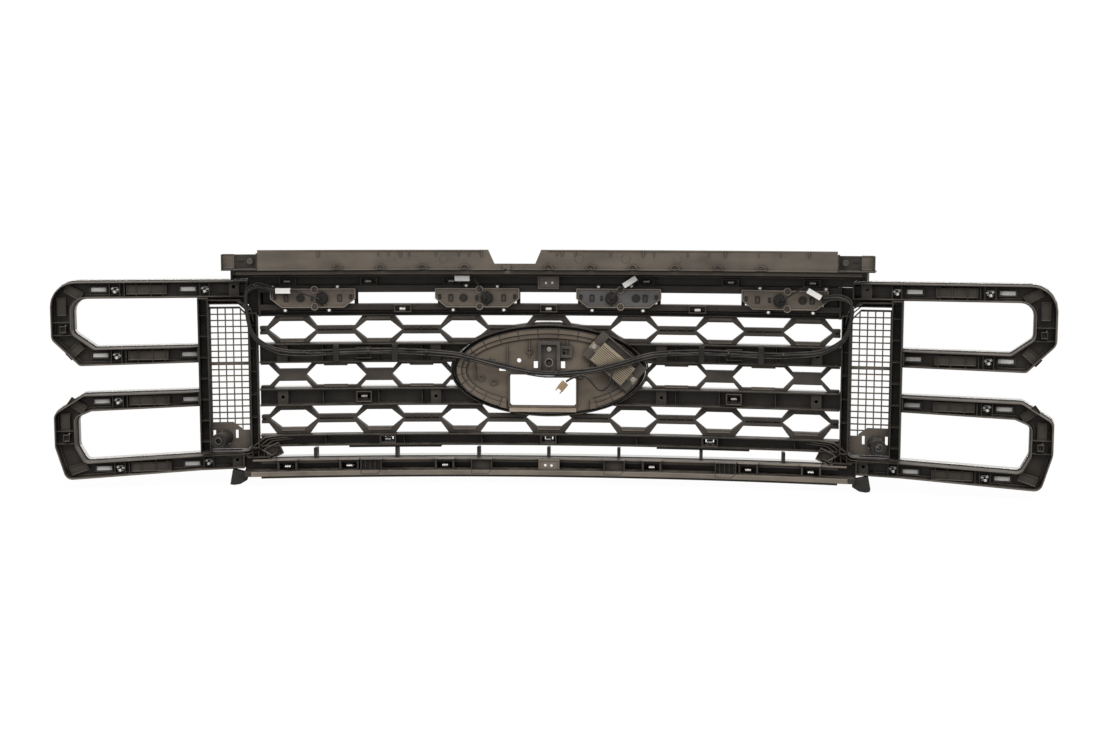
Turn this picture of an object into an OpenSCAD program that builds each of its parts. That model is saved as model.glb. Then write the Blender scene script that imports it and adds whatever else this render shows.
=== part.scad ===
// Front grille of a full-size pickup truck, with the rear side towards -Y.
// +X is to the right as seen from behind, +Y is the driving direction and +Z is up.
// The origin is the centre of the flat seat that the badge is fixed to.
// "front" and "rear" are distances behind the datum surface, which runs through the origin.

/* [Plan shape] */
// Radius of the curved centre section, seen from above
plan_radius = 2860; // [2500:10:3500]
// Half width of the curved centre section
knee_x = 550; // [450:5:665]
// Length of each straight end section, measured along it
end_reach = 381; // [317:1:460]

/* [Heights] */
// Height of the upper bar
upper_bar_h = 36.5; // [30:0.5:44]
// Height of the lower bar of the centre pair
lower_bar_h = 33; // [27:0.5:40]
// Open height between the two bars
mid_band_h = 49.5; // [41:0.5:60]
// Open height between the upper bar and the lamp rail
top_band_h = 52; // [43:0.5:63]
// Open height between the lower bar and the bottom rail
bottom_band_h = 55.5; // [46:0.5:67]
// Height of the lamp rail
lamp_rail_h = 58.5; // [52:0.5:70]
// Height of the bottom rail
bottom_rail_h = 22; // [18:0.5:27]
// Gap between the bottom rail and the valance
valance_gap = 24; // [20:0.5:29]
// Height of the valance
valance_h = 35; // [29:0.5:42]
// Height of the header panel
header_h = 31; // [26:0.5:37]
// Height of the air deflector
deflector_h = 38; // [31:0.5:46]

/* [Sections] */
// Wall thickness of the moulded frames
wall = 2.5; // [2:0.1:3.2]
// Depth of the open channels behind the datum
channel_depth = 30; // [25:0.5:36]
// Depth of the hexagon mesh
mesh_depth = 14; // [11:0.5:17]
// Depth of the plated front skins
skin_depth = 20; // [16:0.5:24]
// Depth of the header panel
header_depth = 60; // [52:1:72]

/* [Mesh] */
// Distance between neighbouring hexagons
hex_pitch = 162.5; // [135:0.5:195]
// Height of a hexagon opening
hex_h = 34; // [28:0.5:40]
// Width of the flat edge of a hexagon opening
hex_flat = 47; // [39:0.5:56]
// How far a hexagon's point stands out past its flat edge
hex_point = 21; // [17:0.5:25]
// Width of a mesh strut
strut_w = 6.6; // [5.5:0.1:8]

/* [Badge pocket] */
// Width of the oval pocket
oval_w = 352; // [293:1:422]
// Height of the oval pocket
oval_h = 162; // [150:1:176]
// Depth of the oval rim behind its seat
oval_depth = 34; // [28:0.5:41]
// Width of the camera window
window_w = 126; // [105:1:136]
// Height of the camera window
window_h = 60; // [50:0.5:62]

/* [Lamps] */
// Distance of the inner lamps from the centre
inner_lamp_x = 134; // [125:1:150]
// Distance of the outer lamps inboard of the knee
outer_lamp_inset = 107; // [95:1:120]
// Width of a lamp housing
lamp_w = 160; // [133:1:170]
// Height of a lamp housing
lamp_h = 37; // [33:0.5:41]
// Diameter of the bulb socket port
port_d = 20; // [16:0.5:24]
// Turn that releases a bulb socket
socket_turn = 45; // [30:5:60]

/* [Fixings] */
// Diameter of the screw holes in the pads
pad_hole_d = 6.5; // [5.4:0.1:7.8]
// Bore of the steel stand-off sleeves
sleeve_bore = 10; // [8.4:0.1:12]
// Outer diameter of the stand-off bushes
bush_d = 28; // [24:0.5:33]
// How far the stand-offs reach behind the side grids
standoff_reach = 54; // [45:1:64]
// Gap left between fitted pieces
fit_gap = 0.3; // [0.2:0.05:0.5]

/* [Hidden] */
$fn = 48;
plan_fn = 900;                         // circles of the plan shape
end_sweep = asin(knee_x / plan_radius);
knee_y = plan_radius * (1 - cos(end_sweep));

// Levels, stacked from the badge centre
mid_z = -8.25;                         // middle of the band between the bars
bar1_bottom = mid_z + mid_band_h / 2;
bar1_top = bar1_bottom + upper_bar_h;
rail_bottom = bar1_top + top_band_h;
rail_top = rail_bottom + lamp_rail_h;
header_top = rail_top + header_h;
deflector_top = header_top + deflector_h;
bar2_top = mid_z - mid_band_h / 2;
bar2_bottom = bar2_top - lower_bar_h;
bottom_rail_top = bar2_bottom - bottom_band_h;
bottom_rail_bottom = bottom_rail_top - bottom_rail_h;
valance_top = bottom_rail_bottom - valance_gap;
valance_bottom = valance_top - valance_h;

// Depth layers
floor_front = 3;                       // front face of the channel floors
floor_rear = floor_front + wall;
lamp_face = channel_depth - 1.7;       // rear face of the lamp rail strips
tuck_front = floor_front + 0.7;        // flat end plates, kept inside the curved floors they join
tuck_rear = floor_rear - 0.4;
lamp_depth = 30;                       // lamp housing behind that face
grid_front = 20;
grid_t = 4;

// End sections, along their own face from the knee
pillar_in = [2, 18];                   // inner pillar, from and to
pillar_out = [92, 112];                // outer pillar, from and to
rail_join = 20;                        // where the outermost runs of the surrounds begin
surround_join = pillar_out[1] + 0.5;
tip_in = end_reach - 37.5;             // inner edge of the surround's tip

// Lamps
lamp_x = [-(knee_x - outer_lamp_inset), -inner_lamp_x, inner_lamp_x, knee_x - outer_lamp_inset];
lamp_z = rail_bottom + 35;             // middle of a housing
port_dx = [17, 18, -13, -9];           // bulb port from the lamp's middle
port_z = lamp_z - 0.5;
vent_dx = [-23, -26, 33, 33];          // vent disc from the lamp's middle
lamp_screw_dx = [3, 4, 4, 5];          // screw lobes from the lamp's middle
window_z = [rail_bottom + 22.5, rail_bottom + 45];
view_gap = 7;                          // bridge between a lamp's cut-out and a view window

// Fixing pads
outer_pad_inset = 47;                  // from the knee
inner_pad_out = 39;                    // from the badge pocket's end
bar_pad_x = [-(knee_x - outer_pad_inset), -(oval_w / 2 + inner_pad_out),
             oval_w / 2 + inner_pad_out, knee_x - outer_pad_inset];
pad_w = 19;
end_pad_out = 41;                      // pads at the inboard ends of the outermost runs, from the knee
end_pad_u = end_pad_out / cos(end_sweep) + 3;
standoff_x = knee_x + 61;
standoff_z = bottom_rail_top - 3;

// Clip pockets, each [x, z]
pocket_w = 27;
pocket_h = 13;
under_lip_x = [for (d = [70, 213]) each [-knee_x + d, knee_x - d]];
valance_clip_x = [for (k = [-0.9, -0.69, -0.36, 0, 0.36, 0.69, 0.9]) k * knee_x];

// ---------- outlines ----------

function unit(v) = v / norm(v);
function cross2(a, b) = a[0] * b[1] - a[1] * b[0];
function flat(p) = [p[0], p[1]];

// One corner [x, y, radius] between its neighbours, as the points of an arc
function corner_arc(a, b, c, r, steps) =
    let (u = unit(a - b), v = unit(c - b), half = acos(u * v) / 2, hub = b + unit(u + v) * r / sin(half),
         turn = (90 - half) * (cross2(u, v) > 0 ? -1 : 1), mid = atan2((b - hub)[1], (b - hub)[0]))
    [for (i = [0 : steps]) hub + r * [cos(mid - turn + 2 * turn * i / steps) ,
        sin(mid - turn + 2 * turn * i / steps)]];

// A closed outline of corners [x, y, radius], counted anticlockwise
function rounded(pts, steps = 5) = [for (i = [0 : len(pts) - 1])
    let (n = len(pts), a = flat(pts[(i + n - 1) % n]), b = flat(pts[i]), c = flat(pts[(i + 1) % n]),
        r = pts[i][2])
    each (r > 0 ? corner_arc(a, b, c, r, steps) : [b])];

// The same outline moved inwards by d, or outwards where d is negative
function inset(pts, d) = [for (i = [0 : len(pts) - 1])
    let (n = len(pts), a = flat(pts[(i + n - 1) % n]), b = flat(pts[i]), c = flat(pts[(i + 1) % n]),
         u = unit(b - a), v = unit(c - b), m = [-u[1], u[0]], k = [-v[1], v[0]], q = b + (m + k)
             * d / (1 + m * k),
         r = pts[i][2])
    [q[0], q[1], r > 0 ? max(r - d * sign(cross2(u, v)), 1) : 0]];

function oval(w, h, n = 72) = [for (i = [0 : n - 1]) [w / 2 * cos(360 * i / n), h / 2 * sin(360 * i / n)]];
function box_outline(w, h, r) = [[-w / 2, -h / 2, r], [w / 2, -h / 2, r], [w / 2, h / 2, r], [-w / 2,
    h / 2, r]];

// ---------- placing ----------

// Plan outline of the centre section between two depths and two X positions
module plan_band(x0, x1, front, rear) {
    reach = 2 * plan_radius * tan(end_sweep);
    intersection() {
        translate([0, -plan_radius]) difference() {
            circle(r = plan_radius - front, $fn = plan_fn);
            circle(r = plan_radius - rear, $fn = plan_fn);
        }
        translate([x0, -knee_y - 200]) square([x1 - x0, knee_y + 300]);
        polygon([[0, -plan_radius], [reach, plan_radius], [-reach, plan_radius]]);
    }
}

// A box of the centre section that follows the plan curve
module arc_box(x0, x1, z0, z1, front, rear)
    translate([0, 0, z0]) linear_extrude(z1 - z0) plan_band(x0, x1, front, rear);

// The full width of the centre section
module arc_run(z0, z1, front, rear) arc_box(-knee_x - 40, knee_x + 40, z0, z1, front, rear);

// Depth of the datum surface at an X position of the centre section
function sag(x) = plan_radius - sqrt(plan_radius * plan_radius - x * x);

// Stands an X, Z outline up between two distances behind the origin
module stand(front, rear) translate([0, -front, 0]) rotate([90, 0, 0]) linear_extrude(rear - front)
    children();

// Carries its children from the end section's own frame to the right or left end
module at_end(side)
    mirror([side < 0 ? 1 : 0, 0, 0]) translate([knee_x, -knee_y, 0]) rotate([0, 0, -end_sweep]) children();

module end_box(u0, u1, z0, z1, front, rear)
    translate([u0, -rear, z0]) cube([u1 - u0, rear - front, z1 - z0]);

// A round rod along Y at an X, Z place, between two distances behind the origin
module rod(x, z, d, front, rear) translate([x, -front, z]) rotate([90, 0, 0]) cylinder(d = d,
    h = rear - front);

module both_ends() for (side = [-1, 1]) at_end(side) children();

// Prism of the oval pocket, larger or smaller by grow all round
module oval_prism(grow, front = -60, rear = 120)
    stand(front, rear) polygon(oval(oval_w + 2 * grow, oval_h + 2 * grow));

// ---------- channels ----------

// An open channel of the centre section, its ribs at the X positions given
module arc_channel(x0, x1, z0, z1, ribs = []) {
    difference() {
        arc_box(x0, x1, z0, z1, floor_front, channel_depth);
        arc_box(x0 + wall, x1 - wall, z0 + wall, z1 - wall, floor_rear, channel_depth + 1);
    }
    for (x = ribs) arc_box(x - 0.8, x + 0.8, z0 + 1, z1 - 1, floor_rear - 1, channel_depth - 9);
}

// The same in an end section, upright
module end_channel(u, z0, z1, depth, ribs) {
    difference() {
        end_box(u[0], u[1], z0, z1, floor_front, depth);
        end_box(u[0] + wall, u[1] - wall, z0 + wall, z1 - wall, floor_rear, depth + 1);
    }
    for (z = ribs) end_box(u[0] + 1, u[1] - 1, z - 0.8, z + 0.8, floor_rear - 1, depth - 12);
}

// A raised pad with a screw hole right through it, in a channel of the centre section
module pad_block(x, z0, z1) arc_box(x - pad_w / 2, x + pad_w / 2, z0 + 1, z1 - 1, floor_rear - 1,
    channel_depth - 4);
module pad_hole(x, z) rod(x, z, pad_hole_d, sag(x) - 5, sag(x) + channel_depth + 5);

// Window of a clip pocket, through a channel floor, and the frame that stands around it
module pocket_frame(x, z)
    difference() {
        arc_box(x - pocket_w / 2, x + pocket_w / 2, z - pocket_h / 2, z + pocket_h / 2, floor_rear - 1,
            channel_depth - 8);
        arc_box(x - pocket_w / 2 + 1.5, x + pocket_w / 2 - 1.5, z - pocket_h / 2 + 1.5,
            z + pocket_h / 2 - 1.5,
            floor_front - 1, channel_depth);
    }
module pocket_window(x, z) arc_box(x - 8, x + 8, z - 3, z + 3, 0, floor_rear + 2);

// ---------- carrier frame ----------

module lamp_rail() {
    upper = window_z[1];
    lower = window_z[0];
    difference() {
        union() {
            arc_run(rail_bottom, rail_top, floor_front, floor_rear);
            arc_run(upper, upper + wall, floor_rear - 1, lamp_face);
            arc_run(upper, rail_top, lamp_face - wall, lamp_face);
            arc_run(lower - wall, lower, floor_rear - 1, lamp_face);
            arc_run(lower - 11, lower, lamp_face - wall, lamp_face);
            arc_run(lower - 15, lower - 13, floor_rear - 1, lamp_face - 8);
            arc_run(rail_bottom, rail_bottom + wall, floor_rear - 1, mesh_depth + 6);
            for (s = [-1, 1]) arc_box(s * (knee_x - 3) - 6, s * (knee_x - 3) + 6, rail_bottom, rail_top,
                floor_rear - 1, lamp_face);
        }
        for (x = lamp_x) arc_box(x - lamp_w / 2 + 8, x + lamp_w / 2 - 8, lower, upper, 0, channel_depth);
        for (s = [-1, 1]) arc_box(view_window(s)[0], view_window(s)[1], lower, upper, 0, channel_depth);
        arc_box(-view_half, view_half, lower, upper, 0, channel_depth);
        for (i = [0 : 3], s = [-1, 1])
            rod(lamp_x[i] + lamp_screw_dx[i], lamp_z + s * screw_lobe, 3, sag(lamp_x[i]) + lamp_face - 8,
                sag(lamp_x[i]) + lamp_face + 9);
    }
}
view_half = inner_lamp_x - lamp_w / 2 + 8 - view_gap;
function view_window(s) = let (a = s * (inner_lamp_x + lamp_w / 2 - 8 + view_gap),
    b = s * (knee_x - outer_lamp_inset - lamp_w / 2 + 8 - view_gap)) [min(a, b), max(a, b)];
screw_lobe = 16;                       // lamp screws above and below a lamp's middle

module bottom_rail() {
    lip = [207, 382];
    difference() {
        union() {
            arc_channel(-knee_x - 40, knee_x + 40, bottom_rail_bottom, bottom_rail_top,
                [for (k = [-3 : 3]) k * 0.27 * knee_x + 20]);
            for (s = [-1, 1]) arc_box(min(s * lip[0], s * lip[1]), max(s * lip[0], s * lip[1]),
                bottom_rail_bottom - 5, bottom_rail_bottom + 1, floor_front, 20);
            for (x = bottom_clip_x) pocket_frame(x, (bottom_rail_top + bottom_rail_bottom) / 2);
        }
        for (x = bottom_clip_x) pocket_window(x, (bottom_rail_top + bottom_rail_bottom) / 2);
    }
}
bottom_clip_x = [-0.56 * knee_x, 0, 0.56 * knee_x];

// Slanted panel that carries the bottom rail down to the lowest run of the surround
module corner_gusset() {
    shelf = lower_outer_z + 33.5;
    end_u = end_pad_u - 13.8;
    panel = [[-42, bottom_rail_bottom + 2], [-28, bottom_rail_bottom - 14], [-10, valance_top + 0.5],
        [end_u, valance_top + 0.5],
             [end_u, shelf - 1], [pillar_out[1], shelf - 1], [pillar_out[1], shelf + 3], [30, shelf + 3],
             [pillar_in[1], bottom_rail_top - 24], [-10, bottom_rail_top - 2], [-42, bottom_rail_top - 4]];
    stand(tuck_front, tuck_rear) polygon(panel);
    edge = [[-32, bottom_rail_top - 1], [-10, bottom_rail_top - 2], [24, shelf + 3.5], [40, shelf],
        [pillar_out[0] + 1, shelf]];
    foot = [[-30, bottom_rail_bottom - 12], [-12, valance_top + 4], [26, valance_top + 4]];
    stand(floor_rear - 1, channel_depth + 2) {
        for (i = [0 : len(edge) - 2]) thick_line(edge[i], edge[i + 1], wall);
        for (i = [0 : len(foot) - 2]) thick_line(foot[i], foot[i + 1], wall);
    }
    for (k = [0 : 3]) end_box(-18 + 11 * k, -16.4 + 11 * k, valance_top + 3,
        bottom_rail_bottom - 14 + 3 * k,
        floor_rear - 1, channel_depth - 6 + 3 * k);
}
lower_outer_z = valance_bottom + 16;   // outer edge of the lowest run at the pillar

module thick_line(a, b, t) {
    n = [-(b - a)[1], (b - a)[0]] / norm(b - a) * t / 2;
    polygon([a - n, b - n, b + n, a + n]);
}

// Lips above the side grid, with a slanted corner
module grid_lips()
    for (k = [0, 1]) {
        path = [[pillar_out[0] + 1, grid_top + 6 + 7 * k], [36 - 2 * k, grid_top + 6 + 7 * k],
            [pillar_in[1] - 6, rail_bottom + 4 + 7 * k]];
        stand(floor_rear - 1, 34 + 4 * k) for (i = [0, 1]) thick_line(path[i], path[i + 1], 2);
    }
grid_top = rail_bottom + 19;

module carrier_frame() color("#2b2826") {
    lamp_rail();
    bottom_rail();
    both_ends() {
        end_channel(pillar_in, bottom_rail_top - 24, rail_bottom + 8, 38, [for (k = [-2 : 2]) 44 * k]);
        end_channel(pillar_out, lower_outer_z + 33, surround_top - run_h - 0.5, 42, [for (k = [-3 : 3])
            40 * k - 12]);
        end_box(-4, pillar_out[1], grid_top + 3, surround_top - run_h - 0.5, tuck_front, tuck_rear);
        end_box(-4, rail_join - 1, rail_bottom + 0.6, rail_top - 0.5, tuck_front, tuck_rear);
        grid_lips();
        corner_gusset();
    }
}

// ---------- mesh insert ----------

// Openings of one hexagon row: z0 and z1 are the band's edges, mid the row's middle, half the
// half height of a hexagon, tie the half height of the piece between neighbours
module hex_openings(z0, z1, mid, half, flat_w, point, tie, shift) {
    count = ceil(knee_x / hex_pitch) + 1;
    slope = point / half;
    side_gap = strut_w * sqrt(1 + slope * slope);
    for (k = [-count : count]) translate([k * hex_pitch + shift, 0]) {
        polygon([[-flat_w / 2, mid - half], [flat_w / 2, mid - half], [flat_w / 2 + point, mid],
            [flat_w / 2, mid + half], [-flat_w / 2, mid + half], [-flat_w / 2 - point, mid]]);
        for (s = [-1, 1]) {
            edge = s > 0 ? z1 : z0;
            near = flat_w / 2 + point + side_gap - slope * tie;
            far = flat_w / 2 + point + side_gap - slope * min(half + strut_w / 2, abs(edge - mid));
            polygon([[near, mid + s * tie], [far, edge], [hex_pitch - far, edge], [hex_pitch - near,
                mid + s * tie]]);
        }
    }
}

row1_z = (bar1_top + rail_bottom) / 2 - 1.3;         // middles of the upper and lower rows
row3_z = (bottom_rail_top + bar2_bottom) / 2 + 1;

module mesh_openings() intersection() {
    union() {
        hex_openings(bar1_top, rail_bottom, row1_z, hex_h / 2, hex_flat, hex_point, 8, 0);
        hex_openings(bar2_top, bar1_bottom, mid_z, mid_band_h / 2 - 4.7, 76, 19, 11.5, hex_pitch / 2);
        hex_openings(bottom_rail_top, bar2_bottom, row3_z, hex_h / 2, hex_flat, hex_point, 8, 0);
    }
    translate([-knee_x - 1, bottom_rail_top - 1]) square([2 * knee_x + 2,
        rail_bottom - bottom_rail_top + 2]);
}

module mesh_insert() color("#33302c") {
    low = bottom_rail_top + fit_gap;
    high = rail_bottom - fit_gap;
    half = knee_x - 4;
    difference() {
        intersection() {
            arc_run(low, high, 0, mesh_depth);
            stand(-20, 120) difference() {
                translate([-half, low]) square([2 * half, high - low]);
                mesh_openings();
                collar_outline(0);
            }
        }
        arc_run(bar1_bottom - fit_gap, bar1_top + fit_gap, floor_front - fit_gap, mesh_depth + 5);
        arc_run(bar2_bottom - fit_gap, bar2_top + fit_gap, floor_front - fit_gap, mesh_depth + 5);
        both_ends() end_box(pillar_in[0] - fit_gap, pillar_in[1], low - 5, high + 5,
            floor_front - fit_gap, 60);
        for (x = bar_pad_x, z = [(bar1_bottom + bar1_top) / 2, (bar2_bottom + bar2_top) / 2])
            rod(x, z, pad_hole_d + 1, sag(x) - 5, sag(x) + mesh_depth);
        for (s = [-1, 1]) for (k = [0 : ceil(knee_x / hex_pitch)])
            for (z = [row1_z, row3_z])
                arc_box(s * (k + 0.5) * hex_pitch - 32, s * (k + 0.5) * hex_pitch + 32, z - 1.5, z + 1.5,
                    mesh_depth - 4, mesh_depth + 1);
    }
    difference() {
        collar_prism(wall, -4, 26);
        collar_prism(0, -5, 27);
    }
}
collar_out = [9, 4.5];                 // how far the collar stands outside the pocket, sideways and up

module collar_outline(extra)
    polygon(oval(oval_w + 2 * (collar_out[0] + extra), oval_h + 2 * (collar_out[1] + extra)));
module collar_prism(extra, front = -60, rear = 120) stand(front, rear) collar_outline(extra);

// ---------- the two bars ----------

module bar_channel(z0, z1, ribs) {
    mid = (z0 + z1) / 2;
    clip_x = 0.64 * knee_x;
    difference() {
        union() {
            arc_channel(-knee_x - 40, knee_x + 40, z0, z1, ribs);
            for (x = bar_pad_x) pad_block(x, z0, z1);
            for (s = [-1, 1]) pocket_frame(s * clip_x, mid);
        }
        for (x = bar_pad_x) pad_hole(x, mid);
        for (s = [-1, 1]) pocket_window(s * clip_x, mid);
        collar_prism(wall + fit_gap);
        both_ends() end_box(pillar_in[0] - fit_gap, 60, -300, 300, -10, 90);
    }
}
bar_ribs = [for (x = [0.44, 0.59, 0.78]) each [-x * knee_x, x * knee_x]];
module upper_bar_channel() color("#282523") bar_channel(bar1_bottom, bar1_top, bar_ribs);
module lower_bar_channel() color("#2d2a27") bar_channel(bar2_bottom, bar2_top, bar_ribs);

// A hollow plated skin in front of a bar, open to the rear
module bar_skin(z0, z1) difference() {
    arc_run(z0, z1, -skin_depth, -fit_gap);
    arc_run(z0 + 2, z1 - 2, -skin_depth + 2, 1);
    collar_prism(wall + 2 * fit_gap + bezel_t);
}
module upper_bar_skin() color("#d8d4cc") bar_skin(bar1_bottom, bar1_top);
module lower_bar_skin() color("#d8d4cc") bar_skin(bar2_bottom, bar2_top);

// ---------- lamp surrounds ----------

run_h = 30.5;                          // height of a surround's run
surround_top = rail_top + 9;

// Corners of the upper surround, from its inboard end on the outer side
function upper_outline(join) = [[surround_join, bar1_bottom + 3, 0], [end_reach - 50, bar1_bottom - 1, 9],
    [end_reach, bar1_bottom + 49, 16], [end_reach, surround_top, 46], [join, surround_top, 0],
    [join, surround_top - run_h, 0], [tip_in, surround_top - run_h, 26], [tip_in, bar1_bottom + 60, 14],
    [tip_in - 40, bar1_bottom + 31, 10], [surround_join, bar1_bottom + 33, 0]];

function lower_outline(join) = [[join, lower_outer_z + 2, 0], [surround_join, lower_outer_z, 0],
    [end_reach - 19, lower_outer_z - 13.5, 16],
    [end_reach, lower_outer_z + 50, 22], [end_reach, bar2_top - 41, 16], [end_reach - 55, bar2_top - 6.5,
        12],
    [surround_join, bar2_top - 3, 0], [surround_join, bar2_top - 30.5, 0], [tip_in - 30, bar2_top - 37, 12],
    [tip_in - 1, bar2_top - 49, 14], [tip_in - 1, lower_outer_z + 50, 20], [tip_in - 17,
        lower_outer_z + 19, 12],
    [surround_join, lower_outer_z + 28.5, 0], [join, lower_outer_z + 30, 0]];

// Clip windows and long slots, as [start, end] along the runs
run_clips = [[258, 270], [94, 104]];
run_slots = [[284, 306], [122, 140]];
run_ribs = [186, 235];

module surround(outline, tip_clip_z, join) {
    outer = rounded(outline);
    inner = rounded(inset(outline, wall));
    difference() {
        union() {
            difference() {
                stand(fit_gap, channel_depth - 2) polygon(outer);
                stand(floor_rear, channel_depth) polygon(inner);
            }
            intersection() {
                stand(1, channel_depth - 10) polygon(outer);
                union() {
                    for (u = run_ribs, k = [-1, 1]) translate([u + k * 11, -40, -300]) cube([1.6, 40, 600]);
                    for (c = run_clips, e = [c[0] - 4, c[1] + 3]) translate([e, -40, -300]) cube([1.6,
                        40, 600]);
                    for (z = [tip_clip_z - 12, tip_clip_z + 12]) translate([tip_in - 5, -40, z])
                        cube([60, 40, 1.6]);
                    translate([join + 16, -40, -300]) cube([1.6, 40, 600]);
                    translate([end_pad_u - pad_w / 2, -40, -300]) cube([pad_w, 40, 600]);
                }
            }
        }
        for (c = run_clips) slot_cuts(c, 7, outline);
        for (s = run_slots) slot_cuts(s, 5, outline);
        translate([tip_in + 13, -20, tip_clip_z - 7]) cube([10, 30, 14]);
    }
}

// Cuts a slot through the floor of both runs of a surround
module slot_cuts(span, h, outline) {
    zs = run_mids(outline, (span[0] + span[1]) / 2);
    for (z = zs) translate([span[0], -floor_rear - 2, z - h / 2]) cube([span[1] - span[0],
        floor_rear + 4, h]);
}

// Middle heights of the runs at a place along the end section
function run_mids(outline, u) = outline[0][1] > 0
    ? (u > surround_join ? [bar1_bottom + 17, surround_top - run_h / 2] : [surround_top - run_h / 2])
    : (u > surround_join ? [bar2_top - 19,
        lower_outer_z + 11 - 0.035 * (u - surround_join)] : [lower_outer_z + 15]);

module end_pad_hole(z) at_end_inverse() rod(knee_x + end_pad_out, z, pad_hole_d, 20, 160);
upper_pad_z = surround_top - run_h / 2 + 4;
lower_pad_z = lower_outer_z + 17;
upper_clip_z = bar1_bottom + 67;
lower_clip_z = bar2_top - 88;

module surround_upper(side) color("#2b2826") at_end(side) difference() {
    surround(upper_outline(rail_join), upper_clip_z, rail_join);
    end_pad_hole(upper_pad_z);
}
module surround_lower(side) color("#2b2826") at_end(side) difference() {
    surround(lower_outline(end_pad_u - 13), lower_clip_z, end_pad_u - 13);
    end_pad_hole(lower_pad_z);
}

// Plated skin in front of a surround, a little larger all round
module surround_skin(outline) difference() {
    stand(-skin_depth, -fit_gap) polygon(rounded(inset(outline, -2.5)));
    stand(-skin_depth + 2, 1) polygon(rounded(inset(outline, -0.5)));
}
module surround_skin_upper(side) color("#d8d4cc") at_end(side) surround_skin(upper_outline(rail_join));
module surround_skin_lower(side) color("#d8d4cc") at_end(side) surround_skin(lower_outline(rail_join));

// ---------- side grids and stand-offs ----------

grid_rows = 20;
grid_columns = 5;
wire_w = 2.2;

module side_grid(side) {
    u0 = pillar_in[1] + fit_gap;
    u1 = pillar_out[0] - fit_gap;
    z0 = lower_outer_z + 40;
    z1 = grid_top;
    plate_z = standoff_z + 29;         // top of the bracket plate
    border = 2.6;
    cell_w = (u1 - u0 - border) / grid_columns;
    cell_h = (z1 - bottom_rail_top - 12) / grid_rows;
    outline = [[u0 + 5, z0], [u1, z0], [u1, z1], [u0 + 17, z1], [u0, z1 - 18], [u0, z0 + 5.5]];
    color("#5d554c") at_end(side) difference() {
        translate([0, -grid_front, 0]) rotate([90, 0, 0]) linear_extrude(grid_t) difference() {
            polygon(outline);
            intersection() {
                offset_outline(outline, border);
                difference() {
                    for (i = [0 : grid_columns - 1], j = [0 : grid_rows - 1])
                        translate([u0 + border / 2 + cell_w * i + wire_w / 2,
                            z1 - border - cell_h * (j + 1) + wire_w / 2])
                            square([cell_w - wire_w, cell_h - wire_w]);
                    translate([u0, z1 - cell_h * 9 - border - 3]) square([u1 - u0, 6]);
                    polygon([[u1 - 63, z0], [u1 + 5, z0], [u1 + 5, plate_z], [u1 - 40, plate_z],
                        [u1 - 56, plate_z - 12]]);
                }
            }
        }
        at_end_inverse() rod(standoff_x, standoff_z, bush_d + 2 * fit_gap, 0, 200);
        for (s = [-1, 1]) end_box(bracket_u + s * 21 - 2.5, bracket_u + s * 21 + 2.5, standoff_z - 2,
            standoff_z + 14, grid_front - 5, grid_front + 10);
    }
}
bracket_u = (standoff_x - knee_x) / cos(end_sweep) + 3.5;
module offset_outline(pts, d) polygon([for (p = inset([for (q = pts) [q[0], q[1], 0]], d)) flat(p)]);

// Brings an object of the whole frame into the right end section's frame
module at_end_inverse() rotate([0, 0, end_sweep]) translate([-knee_x, knee_y, 0]) children();

standoff_front = knee_y + (standoff_x - knee_x) * tan(end_sweep) + grid_front;
standoff_rear = standoff_front + standoff_reach;

module standoff_bushes() color("#26231f") for (s = [-1, 1]) difference() {
    union() {
        rod(s * standoff_x, standoff_z, bush_d, standoff_front - 8, standoff_rear - 2);
        rod(s * standoff_x, standoff_z, bush_d - 6, standoff_front - 14, standoff_front - 6);
    }
    rod(s * standoff_x, standoff_z, sleeve_bore + 5, standoff_front - 20, standoff_rear);
}
module standoff_sleeves() color("#9a958c") for (s = [-1, 1]) difference() {
    rod(s * standoff_x, standoff_z, sleeve_bore + 5, standoff_front - 14, standoff_rear);
    rod(s * standoff_x, standoff_z, sleeve_bore, standoff_front - 20, standoff_rear + 5);
}

// ---------- valance ----------

strut_x = [for (k = [-0.81, -0.53, -0.245, 0, 0.245, 0.53, 0.81]) k * knee_x];

module valance() color("#211f1d") {
    difference() {
        union() {
            arc_run(valance_bottom + 12, valance_top, floor_front, floor_rear);
            arc_run(valance_top - 4, valance_top - 1, floor_rear - 1, channel_depth);
            arc_run(valance_top - 9, valance_top - 1, channel_depth - wall, channel_depth);
            arc_run(valance_bottom + 11, valance_bottom + 14, floor_front, 45);
            arc_run(valance_bottom + 4, valance_bottom + 14, 42.5, 45);
            arc_run(valance_bottom, valance_bottom + 5, 40, 42.8);
            for (x = valance_clip_x) arc_box(x - 17, x - 15.4, valance_bottom + 12, valance_top - 2,
                floor_rear - 1, channel_depth + 6);
            for (x = valance_clip_x) arc_box(x + 15.4, x + 17, valance_bottom + 12, valance_top - 2,
                floor_rear - 1, channel_depth + 6);
            for (s = [-1, 1], k = [0 : 3]) arc_box(s * 0.62 * knee_x - 16 + 9 * k,
                s * 0.62 * knee_x - 14.4 + 9 * k,
                valance_bottom + 6, valance_top - 2, floor_rear - 1, 44);
            both_ends() {
                end_box(0, valance_end, valance_bottom + 12, valance_top, floor_front, floor_rear);
                end_box(0, valance_end, valance_bottom + 11, valance_bottom + 14, floor_front, 45);
                end_box(0, valance_end, valance_bottom + 4, valance_bottom + 14, 42.5, 45);
            }
        }
        for (x = valance_clip_x) pocket_window(x, valance_mid);
    }
    for (x = strut_x) arc_box(x - 3, x + 3, valance_top - 3, bottom_rail_bottom - 5.2, floor_front, 22);
}
valance_end = end_pad_u - 13.6;         // its ends stop just short of the surrounds
valance_mid = (valance_top + valance_bottom) / 2 + 0.25;

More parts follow.
